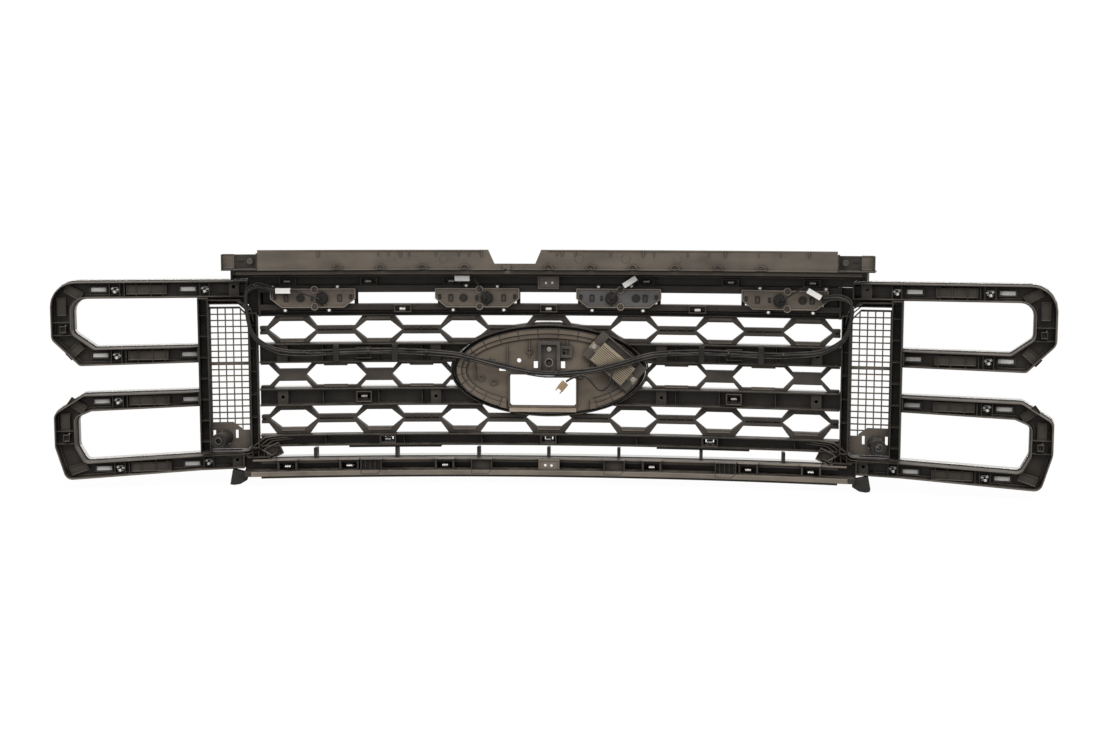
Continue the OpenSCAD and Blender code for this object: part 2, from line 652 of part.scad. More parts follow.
module valance_skin() color("#d8d4cc") difference() {
    arc_run(valance_bottom + 9, valance_top, -skin_depth, floor_front - fit_gap);
    arc_run(valance_bottom + 11, valance_top - 2, -skin_depth + 2, floor_front + 1);
}

// Flexible fins below the outer corners
module corner_fins() color("#161514") both_ends()
    translate([0, -floor_rear - 3, 0]) rotate([90, 0, 0]) linear_extrude(26)
        polygon([[33, valance_bottom + 10.5], [26, valance_bottom + 10.5], [27, valance_bottom - 3.5],
            [40, valance_bottom - 11],
            [52, valance_bottom - 12.5], [59, valance_bottom - 11], [54, valance_bottom + 16]]);

// ---------- header and air deflector ----------

module header_panel() color("#2a2725") {
    arc_run(rail_top + fit_gap, header_top - wall, 8, 8 + wall);
    arc_run(header_top - wall, header_top, 8, header_depth);
    arc_run(header_top - 9, header_top - 1, header_depth - wall, header_depth);
    arc_run(header_top - 3.4, header_top, header_depth - 0.5, header_depth + 2);
    both_ends() {
        end_box(0, header_end, header_top - wall, header_top, 8, header_depth);
        end_box(0, header_end, header_top - 9, header_top - 1, header_depth - wall, header_depth);
        end_box(0, header_end, surround_top + 3, header_top - 1, 8, 8 + wall);
        end_box(header_end - wall, header_end, surround_top + 3, header_top, 8, header_depth);
        end_box(-3, rail_join - 1, rail_top + fit_gap, surround_top + 4, 8.5, 7.6 + wall);
    }
}
header_end = rail_join + 28;           // how far the header reaches along the end sections

notch = [-96, -20];                    // foot of the notch in the deflector's edge
deflector_rear = header_depth + 28;
foot_z = header_top + fit_gap;

module deflector_ribs(count, z0, z1, w)
    for (k = [-count : count]) arc_box(k * 78 + 5 - w / 2, k * 78 + 5 + w / 2, z0, z1,
        deflector_rear - 1, deflector_rear + 5);

module air_deflector() color("#4a443d") {
    reach = knee_x - 20;
    difference() {
        union() {
            arc_box(-reach, reach, foot_z + 4, deflector_top, deflector_rear - wall, deflector_rear);
            arc_box(-reach, reach, foot_z, foot_z + wall, header_depth - 30, deflector_rear + 2);
            arc_box(-reach, reach, foot_z, foot_z + 7, deflector_rear - wall, deflector_rear);
            deflector_ribs(5, foot_z + 1, foot_z + 9, 14);
        }
        stand(-20, 250) polygon([[notch[0], foot_z + 12], [notch[1], foot_z + 12], [notch[1] + 13,
            deflector_top + 5],
            [notch[0] - 14, deflector_top + 5]]);
        for (k = [-5 : 5]) rod(k * 78 + 5, foot_z + 1, 8, 0, 250);
    }
    for (x = [for (k = [-3 : 3]) k * 150 + 30]) arc_box(x - 0.8, x + 0.8, deflector_top - 12,
        deflector_top - 0.5,
        deflector_rear - 1, deflector_rear + 3);
}

module deflector_end(side) color("#38332e") {
    x0 = knee_x - 20 + fit_gap;
    difference() {
        union() {
            mirror([side < 0 ? 1 : 0, 0, 0]) {
                arc_box(x0, knee_x + 60, foot_z, deflector_top - 6, deflector_rear - 12,
                    deflector_rear - 12 + wall);
                arc_box(x0, x0 + wall, foot_z, deflector_top - 6, deflector_rear - 12, deflector_rear);
                arc_box(x0, knee_x + 60, foot_z, foot_z + wall, header_depth - 20, deflector_rear);
            }
            at_end(side) {
                end_box(0, deflector_end_u, foot_z + 3, deflector_top - 8, deflector_rear - 12,
                    deflector_rear - 12 + wall);
                end_box(0, deflector_end_u, foot_z, foot_z + wall, header_depth - 20, deflector_rear);
                end_box(deflector_end_u - wall, deflector_end_u, foot_z, deflector_top - 8,
                    deflector_rear - 12, deflector_rear - 2);
            }
        }
        rod(side * deflector_screw_x, deflector_screw_z, 5, knee_y + 50, knee_y + 200);
    }
}
deflector_end_u = 63;                  // how far the end pieces reach past the knee
deflector_screw_x = knee_x - 5;
deflector_screw_z = foot_z + 17;

module deflector_screws() color("#77716a") for (s = [-1, 1]) {
    seat = sag(deflector_screw_x) + deflector_rear - 12 + wall;
    rod(s * deflector_screw_x, deflector_screw_z, 4.6, seat - 12, seat + 1.5);
    rod(s * deflector_screw_x, deflector_screw_z, 12, seat + 2.8, seat + 5.5);
}

// ---------- lamps ----------

// Places a lamp's own frame, where z is the depth behind the lamp rail's strips
module at_lamp(i) translate([lamp_x[i], 0, lamp_z])
    translate([0, -sag(lamp_x[i]) - lamp_face - lamp_tilt_room, 0]) rotate([0, 0,
        -asin(lamp_x[i] / plan_radius)]) rotate([90, 0, 0]) children();

// A flat housing on the curved rail stands off by this
lamp_tilt_room = lamp_w * lamp_w / (8 * plan_radius) + 0.7;
lamp_t = 12;                           // thickness of the housing's flange
lamp_outline = [[-lamp_w / 2 + 22, -lamp_h / 2, 2], [lamp_w / 2 - 22, -lamp_h / 2, 2], [lamp_w / 2,
    -lamp_h / 2 + 17, 2],
                [lamp_w / 2, lamp_h / 2, 3], [-lamp_w / 2, lamp_h / 2, 3], [-lamp_w / 2,
                    -lamp_h / 2 + 17, 2]];
neck_w = lamp_w - 26;
neck_h = 18;
neck_front = 38;                       // how far the neck reaches in front of the flange

module lamp_housing(i) color("#7a6d60") at_lamp(i) difference() {
    union() {
        linear_extrude(lamp_t) polygon(rounded(lamp_outline, 3));
        for (s = [-1, 1]) translate([lamp_screw_dx[i], s * screw_lobe, 0]) cylinder(d = 15, h = lamp_t);
        translate([-neck_w / 2, -neck_h / 2, -neck_front]) cube([neck_w, neck_h, neck_front + 1]);
    }
    translate([-neck_w / 2 + 2, -neck_h / 2 + 2, -neck_front - 1]) cube([neck_w - 4, neck_h - 4,
        neck_front + lamp_t - 1.5]);
    translate([port_dx[i], port_z - lamp_z, -1]) cylinder(d = port_d + 0.6, h = lamp_t + 5);
    translate([vent_dx[i], 0, lamp_t - 1]) cylinder(d = 16, h = 5);
    translate([vent_dx[i], 0, -1]) cylinder(d = 6, h = lamp_t + 5);
    for (s = [-1, 1]) translate([lamp_screw_dx[i], s * screw_lobe, -1]) cylinder(d = 5.2, h = lamp_t + 5);
    for (s = [-1, 1]) translate([s * (lamp_w / 2 - 30), 0, lamp_t - 0.8]) linear_extrude(3)
        polygon(rounded(box_outline(6, 11, 2.5), 3));
    for (s = [-1, 1]) translate([s * (lamp_w / 2 - 9), 2, lamp_t - 0.8]) linear_extrude(3)
        polygon(rounded(box_outline(4, 8, 1.8), 3));
}

// Clear lens that closes the front of the neck
module lamp_lens(i) color("#d9d2c4") at_lamp(i) translate([0, 0, -neck_front - 4]) difference() {
    translate([-neck_w / 2 - 3, -neck_h / 2 - 1, -6]) cube([neck_w + 6, neck_h + 2, 9.7]);
    translate([-neck_w / 2 + 2, -neck_h / 2 + 2, -4]) cube([neck_w - 4, neck_h - 4, 20]);
}

module at_port(i) at_lamp(i) translate([port_dx[i], port_z - lamp_z, 0]) children();

// Twist-lock socket: a flange, a stem through the port, two lugs and a side outlet for the lead
module bulb_socket(i) color("#1b1a19") at_port(i) difference() {
    union() {
        translate([0, 0, lamp_t + fit_gap]) cylinder(d = port_d + 2, h = 3);
        translate([0, 0, 2]) cylinder(d = port_d - 1, h = lamp_t);
        translate([0, 0, lamp_t + 2]) cylinder(d = port_d - 4, h = 7);
        translate([-2, -port_d / 2 - 3.5, lamp_t + 1.3]) cube([4, port_d + 7, 2]);
    }
    translate([0, 0, -1]) cylinder(d = bulb_d + 0.2, h = lamp_t - 2);
    for (k = [0 : 2]) rotate([0, 0, 120 * k + 30]) translate([4.5, 0, lamp_t + 7]) cylinder(d = 2.4, h = 4);
}
bulb_d = 10;

module bulb(i) color("#e6dfce") at_port(i) {
    translate([0, 0, -3]) cylinder(d = bulb_d, h = lamp_t);
    translate([0, 0, -9]) cylinder(d = bulb_d - 2, h = 7);
    translate([0, 0, -9]) sphere(d = bulb_d - 2);
}

module lamp_vents() color("#2c2724") for (i = [0 : 3]) at_lamp(i) translate([vent_dx[i], 0, lamp_t - 0.9]) {
    cylinder(d = 15.4, h = 1.6);
    translate([0, 0, 1.5]) cylinder(d = 9, h = 0.8);
}
module lamp_screws() color("#8b857c") for (i = [0 : 3], s = [-1, 1])
    at_lamp(i) translate([lamp_screw_dx[i], s * screw_lobe, 0]) {
        translate([0, 0, 0.5]) cylinder(d = 4.4, h = lamp_t + 1);
        translate([0, 0, lamp_t + 0.1]) cylinder(d = 8.5, h = 2.6);
    }

// ---------- badge pocket ----------

dish_floor = oval_depth - 7;           // rear face of the pocket's floor
dish_step = oval_depth - 3;            // rear face of the inner band
band_w = 9;                            // width of each of the two bands round the pocket
window_left = -73.2;
window_low = -66.2;

// Corners of the camera window, anticlockwise
window_outline = [[window_left, window_low, 5], [window_left + window_w, window_low, 5],
    [window_left + window_w, window_low + window_h - 7, 5], [-8, window_low + window_h - 7, 2.5],
    [-18, window_low + window_h, 2.5], [window_left, window_low + window_h, 5]];

// Openings through the pocket's floor, larger by grow in the seat plate in front of it
module pocket_openings(grow) {
    polygon(rounded(inset(window_outline, -grow), 4));
    translate([-25 - grow, -10.7 - grow]) square([56.4 + 2 * grow, 8.5 + 2 * grow]);
    translate([-56, 19.6]) circle(d = 8 + 2 * grow);
    translate([-87.6, 1.7]) polygon(rounded(box_outline(14 + 2 * grow, 5 + 2 * grow, 2.4), 3));
    for (x = [-24, 28]) translate([x, 11.7]) square([8 + 2 * grow, 13 + 2 * grow], center = true);
    translate([93, -0.2]) square([11 + 2 * grow, 4 + 2 * grow], center = true);
}

// Flat seat of the badge, in front of the pocket
module badge_backplate() color("#5b5249") difference() {
    stand(0, wall) polygon(oval(oval_w + 2 * collar_out[0] - 1, oval_h + 2 * collar_out[1] - 1));
    stand(-5, wall + 5) pocket_openings(4.5);
}

module dish_ring(outer, inner, front, rear) difference() {
    oval_prism(outer, front, rear);
    oval_prism(inner, front - 1, rear + 1);
}

// Grooves square to the oval, between two distances inside its edge
module dish_grooves(from, to, depth) stand(depth - 1.4, depth + 1) for (k = [0 : 27]) {
    t = 360 * (k + 0.5) / 28;
    translate([oval_w / 2 * cos(t), oval_h / 2 * sin(t)]) rotate(atan2(oval_w * sin(t), oval_h * cos(t)))
        translate([-to, -0.6]) square([to - from, 1.2]);
}

// Stepped dish behind the seat: a floor, two bands round it and an outer wall
module pocket_dish() color("#5b5249") difference() {
    union() {
        dish_ring(0, -wall, wall + fit_gap, oval_depth);
        dish_ring(0, -band_w, oval_depth - wall, oval_depth);
        dish_ring(-band_w + 2, -band_w, dish_step - wall, oval_depth);
        dish_ring(-band_w + 2, -2 * band_w, dish_step - wall, dish_step);
        dish_ring(-2 * band_w + 2, -2 * band_w, dish_floor - wall, dish_step);
        oval_prism(-2 * band_w + 2, dish_floor - wall, dish_floor);
        intersection() {
            oval_prism(-1, dish_floor - wall, dish_floor);
            translate([-84, -60, -100]) cube([168, 60, 55]);
        }
    }
    translate([-80, -oval_depth - 5, -110]) cube([160, oval_depth + 5 - dish_floor, 62]);
    dish_grooves(-1, band_w - 1.5, oval_depth);
    dish_grooves(band_w + 1.5, 2 * band_w - 1.5, dish_step);
    stand(-5, oval_depth) pocket_openings(0);
    rod(2, 42, 5.2, 0, 60);
    at_module(dish_step) translate([-module_size[0] / 2 - 18, -module_size[1] / 2 - 4, 0])
        cube([module_size[0] + 36, module_size[1] + 19, 20]);
}

// Plated ring round the collar
bezel_t = 3;
module badge_bezel() color("#cfcac0") difference() {
    collar_prism(wall + fit_gap + bezel_t, -14, -fit_gap);
    collar_prism(wall + fit_gap, -20, 5);
}

// Tower that the camera hangs in, with a keyhole, and its side bracket
tower = [-19, 23, 0, 57];              // x from and to, z from and to
tower_depth = 40;
module camera_bracket() color("#4f4740") difference() {
    union() {
        tower_box(tower[0], tower[1], tower[2], tower[3], dish_floor + fit_gap, tower_depth);
        tower_box(tower[1] - 1, tower[1] + 23, 26, 48, dish_floor + fit_gap, tower_depth - 5);
    }
    tower_box(tower[0] + 6, tower[1] - 6, -5, tower[3] - 6, tower_depth - 7, tower_depth + 5);
    tower_box(tower[0] + 3, tower[1] - 3, tower[2] + 3, tower[3] - 3, 0, tower_depth - 10);
    tower_box(tower[1] + 4, tower[1] + 18, 31, 43, tower_depth - 9, tower_depth);
    rod(2, 42, 5, -5, 60);
    rod(2, 17, 12, -5, 60);
    tower_box(-1.5, 5.5, -5, 17, -5, 60);
    rod(tower[1] + 7, 34, 6, -5, 60);
}
module tower_box(x0, x1, z0, z1, front, rear) translate([x0, -rear, z0]) cube([x1 - x0, rear - front,
    z1 - z0]);

module bracket_screws() color("#8b857c") {
    rod(2, 42, 4.6, dish_floor - 9, tower_depth - 6);
    rod(2, 42, 9, tower_depth - 6.9, tower_depth - 4.5);
}

// ---------- driver module ----------

module_at = [123, 15.5];                // middle of the module
module_tilt = -40.5;
module_size = [76, 42];
module at_module(front) translate([module_at[0], -front, module_at[1]]) rotate([90, 0, 0]) rotate([0, 0,
    module_tilt]) children();

module driver_module() color("#b7a78d") at_module(module_seat) {
    translate([-module_size[0] / 2, -module_size[1] / 2, 0]) cube([module_size[0], module_size[1], 12]);
    for (k = [0 : 10]) translate([-module_size[0] / 2, -module_size[1] / 2 + 3 + k * 3.4, 11.5])
        cube([module_size[0], 1.6, 2.3]);
    for (s = [-1, 1]) difference() {
        translate([s * (module_size[0] / 2 + 8) - 9, -6, 0]) cube([18, 16, 2.4]);
        at_ear(s) translate([0, 0, -1]) cylinder(d = 5, h = 5);
    }
}
module at_ear(s) translate([s * (module_size[0] / 2 + 10), 2, 0]) children();

// Black tray under the module, on the edge of the inner rim
module module_tray() color("#1c1a19") at_module(dish_step + fit_gap) difference() {
    translate([-module_size[0] / 2 - 17, -module_size[1] / 2 - 3, 0]) cube([module_size[0] + 34,
        module_size[1] + 17, tray_t + 5]);
    translate([-module_size[0] / 2 - 0.5, -module_size[1] / 2 - 0.5, tray_t]) cube([module_size[0] + 1,
        module_size[1] + 12, 10]);
    for (s = [-1, 1]) translate([s * (module_size[0] / 2 + 8) - 9.5, -6.5, tray_t]) cube([19, 17, 10]);
    for (s = [-1, 1]) at_ear(s) translate([0, 0, -1]) cylinder(d = 3.4, h = 20);
}
tray_t = 3;
module_seat = dish_step + 2 * fit_gap + tray_t;

module module_screws() color("#a29b90") at_module(module_seat) for (s = [-1, 1]) at_ear(s) {
    translate([0, 0, 2.6]) cylinder(d = 9, h = 3);
    translate([0, 0, -2]) cylinder(d = 3, h = 5);
}

// ---------- wiring ----------

// Routes as points [x, y, z], each the middle of the lead
trunk_route = [[-509, -96, 155], [-540, -98, 164], [-562, -101, 150], [-560, -101, 104], [-548, -98, 66],
    [-512, -86, 42],
    [-460, -73, 36], [-400, -64, 36], [-290, -50, 38], [-180, -46, 33], [-120, -46, 18], [-60, -46, 4],
    [-10, -46, -3], [40, -49, -2], [90, -54, 4], [140, -55, 18], [200, -49, 34], [290, -50, 38],
    [400, -64, 36], [460, -73, 38], [512, -86, 44], [548, -98, 68], [560, -101, 104], [560, -101, 134],
        [540, -98, 146],
    [509, -96, 145]];
plug_route = [[122, -57, 6.8], [122, -58, 2], [121, -59, -5], [119, -60, -13], [116, -61, -21], [111,
    -62, -28],
    [105, -62, -32], [98, -62, -31], [92, -62, -26], [86, -62, -19], [80, -62, -12], [73, -62, -6.5],
    [65, -62, -4], [57, -62.5, -5.5], [48, -63.5, -9], [41, -65, -12.5], [36, -66, -16]];
trunk_d = 8;
lead_d = 4;

// One point of the smooth curve through four route points
function blend_point(a, b, c, d, t) =
    0.5 * ((2 * b) + (c - a) * t + (2 * a - 5 * b + 4 * c - d) * t * t + (3 * b - a - 3 * c + d)
        * t * t * t);
function smooth_route(p, steps) = [for (i = [0 : len(p) - 2], j = [0 : steps - 1])
    blend_point(p[max(i - 1, 0)], p[i], p[i + 1], p[min(i + 2, len(p) - 1)], j / steps), p[len(p) - 1]];
function ring(centre, dir, r, sides) =
    let (side = unit(cross(dir, abs(dir[2]) > 0.9 ? [0, 1, 0] : [0, 0, 1])), up = cross(side, unit(dir)))
    [for (k = [0 : sides - 1]) centre + r * (side * cos(360 * k / sides) + up * sin(360 * k / sides))];

// A round lead swept along a route
module lead(route, d, steps, sides) {
    path = steps > 1 ? smooth_route(route, steps) : route;
    n = len(path);
    points = [for (i = [0 : n - 1]) each ring(path[i], path[min(i + 1, n - 1)] - path[max(i - 1, 0)],
        d / 2, sides)];
    walls = [for (i = [0 : n - 2], k = [0 : sides - 1]) let (a = i * sides, b = a + sides, m = (k + 1)
        % sides)
        each [[a + k, a + m, b + m], [a + k, b + m, b + k]]];
    ends = [[for (k = [sides - 1 : -1 : 0]) k], [for (k = [0 : sides - 1]) (n - 1) * sides + k]];
    polyhedron(points, concat(walls, ends));
}

module harness_trunk() color("#171615") lead(trunk_route, trunk_d, 2, 8);
module plug_lead() color("#1b1918") lead(plug_route, lead_d, 1, 8);

// Angle and place of each lamp's white connector, [x, z, tilt]
connector_at = [[lamp_x[0] - 50, lamp_z + 15, 0], [lamp_x[1] - 26, lamp_z + 37.5, 0],
    [lamp_x[2] + 21, lamp_z + 32, 33], [lamp_x[3] + 50, lamp_z + 13, -30]];
function connector_depth(i) = sag(connector_at[i][0]) + lamp_face + 25.2;
connector_size = [28, 9, 10];
module at_connector(i) translate([connector_at[i][0], -connector_depth(i), connector_at[i][1]])
    rotate([0, -connector_at[i][2], 0]) children();
module lamp_connectors() color("#efece4") for (i = [0 : 3]) at_connector(i)
    translate([-connector_size[0] / 2, -connector_size[1] / 2, -connector_size[2] / 2])
        cube(connector_size);

// Where a lead leaves the back of a socket, and where it meets the connector
function port_end(i) = [lamp_x[i] + port_dx[i], -sag(lamp_x[i] + port_dx[i]) - lamp_face - lamp_t - 12.5,
    port_z];
function connector_end(i, s) = [connector_at[i][0] + s * (connector_size[0] / 2 + 1)
    * cos(connector_at[i][2]), -connector_depth(i),
    connector_at[i][1] + s * (connector_size[0] / 2 + 1) * sin(connector_at[i][2])];
lead_side = [1, 1, -1, -1];
module lamp_leads() color("#1b1918") for (i = [0 : 3]) {
    a = port_end(i);
    b = connector_end(i, lead_side[i]);
    step = [lead_side[i] * 8 * cos(connector_at[i][2]), 0, lead_side[i] * 8 * sin(connector_at[i][2])];
    lead([a, a + [0, -6, 0], b + step + [0, -3, 0], b], 3.2, 2, 8);
}

plug_tilt = 39;
plug_top = 8 + 2.5;
plug_at = plug_route[len(plug_route) - 1] - plug_top * [sin(plug_tilt), 0, cos(plug_tilt)];
module main_plug() color("#a8916f") translate(plug_at) rotate([0, plug_tilt, 0]) {
    translate([-7, -5, -8]) cube([14, 10, 16]);
    for (s = [-1, 1]) translate([s * 5 - 1, -3, -14]) cube([2, 6, 6.5]);
}

module harness_clips() color("#1b1a19")
    for (x = harness_clip_x) difference() {
        arc_box(x - 5, x + 5, bar1_bottom + 2, bar1_top - 2, channel_depth + fit_gap, channel_depth + 12);
        arc_box(x - 6, x + 6, bar1_bottom + 4.5, bar1_top - 4.5, channel_depth, channel_depth + 10);
    }
harness_clip_x = [-400, -290, 290, 400];

// ---------- spring clips ----------

// A bent strip of spring steel, w wide, with its open end to the rear
module clip_shape(w, h) rotate([0, 90, 0]) translate([0, 0, -w / 2]) linear_extrude(w) polygon([[-h / 2,
    0], [h / 2, 0],
    [h / 2, 10], [h / 2 - 0.8, 10], [h / 2 - 0.8, 0.8], [-h / 2 + 0.8, 0.8], [-h / 2 + 0.8, 10], [-h / 2,
        10]]);
module arc_clip(x, z, front) translate([x, -sag(x) - front, z]) mirror([0, 1, 0]) clip_shape(12, 5);

module spring_clips() color("#cfc9bd") {
    for (s = [-1, 1], z = [(bar1_bottom + bar1_top) / 2, (bar2_bottom + bar2_top) / 2])
        arc_clip(s * 0.64 * knee_x, z, floor_rear + 0.6);
    for (x = bottom_clip_x) arc_clip(x, (bottom_rail_top + bottom_rail_bottom) / 2, floor_rear + 0.6);
    for (x = valance_clip_x) arc_clip(x, valance_mid, floor_rear + 0.6);
    both_ends() for (o = [upper_outline(0), lower_outline(0)], c = run_clips, z = run_mids(o,
        (c[0] + c[1]) / 2))
        translate([(c[0] + c[1]) / 2, -floor_rear - 0.3, z]) mirror([0, 1, 0])
            clip_shape(c[1] - c[0] - 1, 9);
}

carrier_frame();
mesh_insert();
upper_bar_channel();
lower_bar_channel();
upper_bar_skin();
lower_bar_skin();
surround_upper(-1);  // surround_upper_left
surround_upper(1);  // surround_upper_right
surround_lower(-1);  // surround_lower_left
surround_lower(1);  // surround_lower_right
surround_skin_upper(-1);  // surround_skin_upper_left
surround_skin_upper(1);  // surround_skin_upper_right
surround_skin_lower(-1);  // surround_skin_lower_left
surround_skin_lower(1);  // surround_skin_lower_right
side_grid(-1);  // side_grid_left
side_grid(1);  // side_grid_right
standoff_bushes();
standoff_sleeves();
valance();
valance_skin();
corner_fins();
header_panel();
air_deflector();
deflector_end(-1);  // deflector_end_left
deflector_end(1);  // deflector_end_right
deflector_screws();
lamp_housing(0);  // lamp_housing_1
lamp_housing(1);  // lamp_housing_2
lamp_housing(2);  // lamp_housing_3
lamp_housing(3);  // lamp_housing_4
lamp_lens(0);  // lamp_lens_1
lamp_lens(1);  // lamp_lens_2
lamp_lens(2);  // lamp_lens_3
lamp_lens(3);  // lamp_lens_4
bulb_socket(0);  // bulb_socket_1
bulb_socket(1);  // bulb_socket_2
bulb_socket(2);  // bulb_socket_3
bulb_socket(3);  // bulb_socket_4
bulb(0);  // bulb_1
bulb(1);  // bulb_2
bulb(2);  // bulb_3
bulb(3);  // bulb_4
lamp_vents();
lamp_screws();
badge_backplate();
pocket_dish();
badge_bezel();
camera_bracket();
bracket_screws();
driver_module();
module_tray();
module_screws();
harness_trunk();
lamp_leads();
lamp_connectors();
plug_lead();
main_plug();
harness_clips();
spring_clips();
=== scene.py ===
"""Looks of the front grille: studio, camera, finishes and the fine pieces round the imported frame."""

import math

import bpy
from mathutils import Matrix, Vector


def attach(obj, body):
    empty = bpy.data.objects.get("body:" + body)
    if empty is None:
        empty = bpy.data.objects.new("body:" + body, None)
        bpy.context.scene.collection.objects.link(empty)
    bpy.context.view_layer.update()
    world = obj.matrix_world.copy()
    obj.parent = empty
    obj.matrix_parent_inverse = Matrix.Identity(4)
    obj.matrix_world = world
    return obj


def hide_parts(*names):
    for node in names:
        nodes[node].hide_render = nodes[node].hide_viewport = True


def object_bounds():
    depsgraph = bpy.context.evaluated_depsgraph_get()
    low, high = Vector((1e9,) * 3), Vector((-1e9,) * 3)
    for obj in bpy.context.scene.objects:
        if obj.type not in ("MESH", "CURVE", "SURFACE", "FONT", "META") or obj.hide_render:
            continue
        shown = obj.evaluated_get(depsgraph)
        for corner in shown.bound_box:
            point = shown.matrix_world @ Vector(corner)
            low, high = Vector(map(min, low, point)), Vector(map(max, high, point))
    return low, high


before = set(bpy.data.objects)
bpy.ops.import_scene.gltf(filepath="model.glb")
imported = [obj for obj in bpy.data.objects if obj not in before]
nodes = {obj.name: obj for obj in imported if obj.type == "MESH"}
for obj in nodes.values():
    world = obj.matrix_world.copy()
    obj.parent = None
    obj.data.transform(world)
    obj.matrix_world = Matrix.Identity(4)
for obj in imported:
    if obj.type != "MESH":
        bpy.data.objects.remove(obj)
cad_low, cad_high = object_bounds()
MM = 0.001


# --- camera ---

CAMERA_PLACE = Vector((0.2099, -3.0498, 0.3468))
CAMERA_AHEAD = Vector((-0.0650, 0.9914, -0.1132))
FOCAL_LENGTH = 51.94


def make_camera():
    data = bpy.data.cameras.new("camera")
    data.lens = FOCAL_LENGTH
    data.sensor_width = 36
    data.clip_start = 0.05
    camera = bpy.data.objects.new("camera", data)
    bpy.context.scene.collection.objects.link(camera)
    camera.location = CAMERA_PLACE
    camera.rotation_euler = CAMERA_AHEAD.to_track_quat("-Z", "Y").to_euler()
    bpy.context.scene.camera = camera


# --- the one free lead ---

PLUG_ROUTE = [
    (122, -57, 6.8), (122, -58, 2), (121, -59, -5), (119, -60, -13), (116, -61, -21), (111, -62, -28),
    (105, -62, -32), (98, -62, -31), (92, -62, -26), (86, -62, -19), (80, -62, -12), (73, -62, -6.5),
    (65, -62, -4), (57, -62.5, -5.5), (48, -63.5, -9), (41, -65, -12.5), (36, -66, -16),
]
PLUG_LEAD_D = 0.004


def make_plug_lead():
    curve = bpy.data.curves.new("plug_lead_sleeve", "CURVE")
    curve.dimensions = "3D"
    curve.bevel_depth = 1.0  # a metre, which the radius of each point scales down
    curve.bevel_resolution = 5
    curve.resolution_u = 12
    curve.use_fill_caps = True
    spline = curve.splines.new("BEZIER")
    spline.bezier_points.add(len(PLUG_ROUTE) - 1)
    for point, place in zip(spline.bezier_points, PLUG_ROUTE):
        point.co = Vector(place) * MM
        point.radius = PLUG_LEAD_D / 2
        point.handle_left_type = "AUTO"
        point.handle_right_type = "AUTO"
    lead = bpy.data.objects.new("plug_lead_sleeve", curve)
    bpy.context.scene.collection.objects.link(lead)
    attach(lead, "grille")
    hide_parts("plug_lead")
    return lead


# --- shader groups ---

def new_group(name, inputs, outputs):
    group = bpy.data.node_groups.new(name, "ShaderNodeTree")
    for label, kind, value in inputs:
        socket = group.interface.new_socket(name=label, in_out="INPUT", socket_type=kind)
        if value is not None:
            socket.default_value = value
    for label, kind in outputs:
        group.interface.new_socket(name=label, in_out="OUTPUT", socket_type=kind)
    entry = group.nodes.new("NodeGroupInput")
    leave = group.nodes.new("NodeGroupOutput")
    return group, entry, leave


def add_node(tree, kind, **settings):
    node = tree.nodes.new(kind)
    for name, value in settings.items():
        setattr(node, name, value)
    return node


def add_math(tree, operation, first, second=None, clamp=False):
    node = add_node(tree, "ShaderNodeMath", operation=operation, use_clamp=clamp)
    for index, value in enumerate((first, second)):
        if value is None:
            continue
        if isinstance(value, (int, float)):
            node.inputs[index].default_value = value
        else:
            tree.links.new(value, node.inputs[index])
    return node.outputs[0]


def add_noise(tree, place, scale, detail=2.0, roughness=0.5):
    noise = add_node(tree, "ShaderNodeTexNoise")
    tree.links.new(place, noise.inputs["Vector"])
    if isinstance(scale, (int, float)):
        noise.inputs["Scale"].default_value = scale
    else:
        tree.links.new(scale, noise.inputs["Scale"])
    noise.inputs["Detail"].default_value = detail
    noise.inputs["Roughness"].default_value = roughness
    return noise.outputs["Fac"]


def add_range(tree, value, low, high, to_low=0.0, to_high=1.0):
    node = add_node(tree, "ShaderNodeMapRange")
    tree.links.new(value, node.inputs["Value"])
    for label, number in (("From Min", low), ("From Max", high), ("To Min", to_low), ("To Max", to_high)):
        node.inputs[label].default_value = number
    return node.outputs["Result"]


def build_grain():
    """Fine moulded grain, with slow changes of tone from the melt's flow."""
    group, entry, leave = new_group(
        "moulded_grain",
        [("Vector", "NodeSocketVector", None), ("Scale", "NodeSocketFloat", 900.0)],
        [("Height", "NodeSocketFloat"), ("Tone", "NodeSocketFloat")])
    place = entry.outputs["Vector"]
    fine = add_noise(group, place, entry.outputs["Scale"], 3.0, 0.6)
    slow = add_noise(group, place, 14.0, 4.0, 0.55)
    streak = add_node(group, "ShaderNodeMapping")
    streak.inputs["Scale"].default_value = (9.0, 60.0, 60.0)
    group.links.new(place, streak.inputs["Vector"])
    flow = add_noise(group, streak.outputs["Vector"], 1.0, 3.0, 0.5)
    patches = add_math(group, "MULTIPLY", slow, 0.6)
    streaks = add_math(group, "MULTIPLY", flow, 0.4)
    tone = add_math(group, "ADD", patches, streaks)
    group.links.new(fine, leave.inputs["Height"])
    group.links.new(tone, leave.inputs["Tone"])
    return group


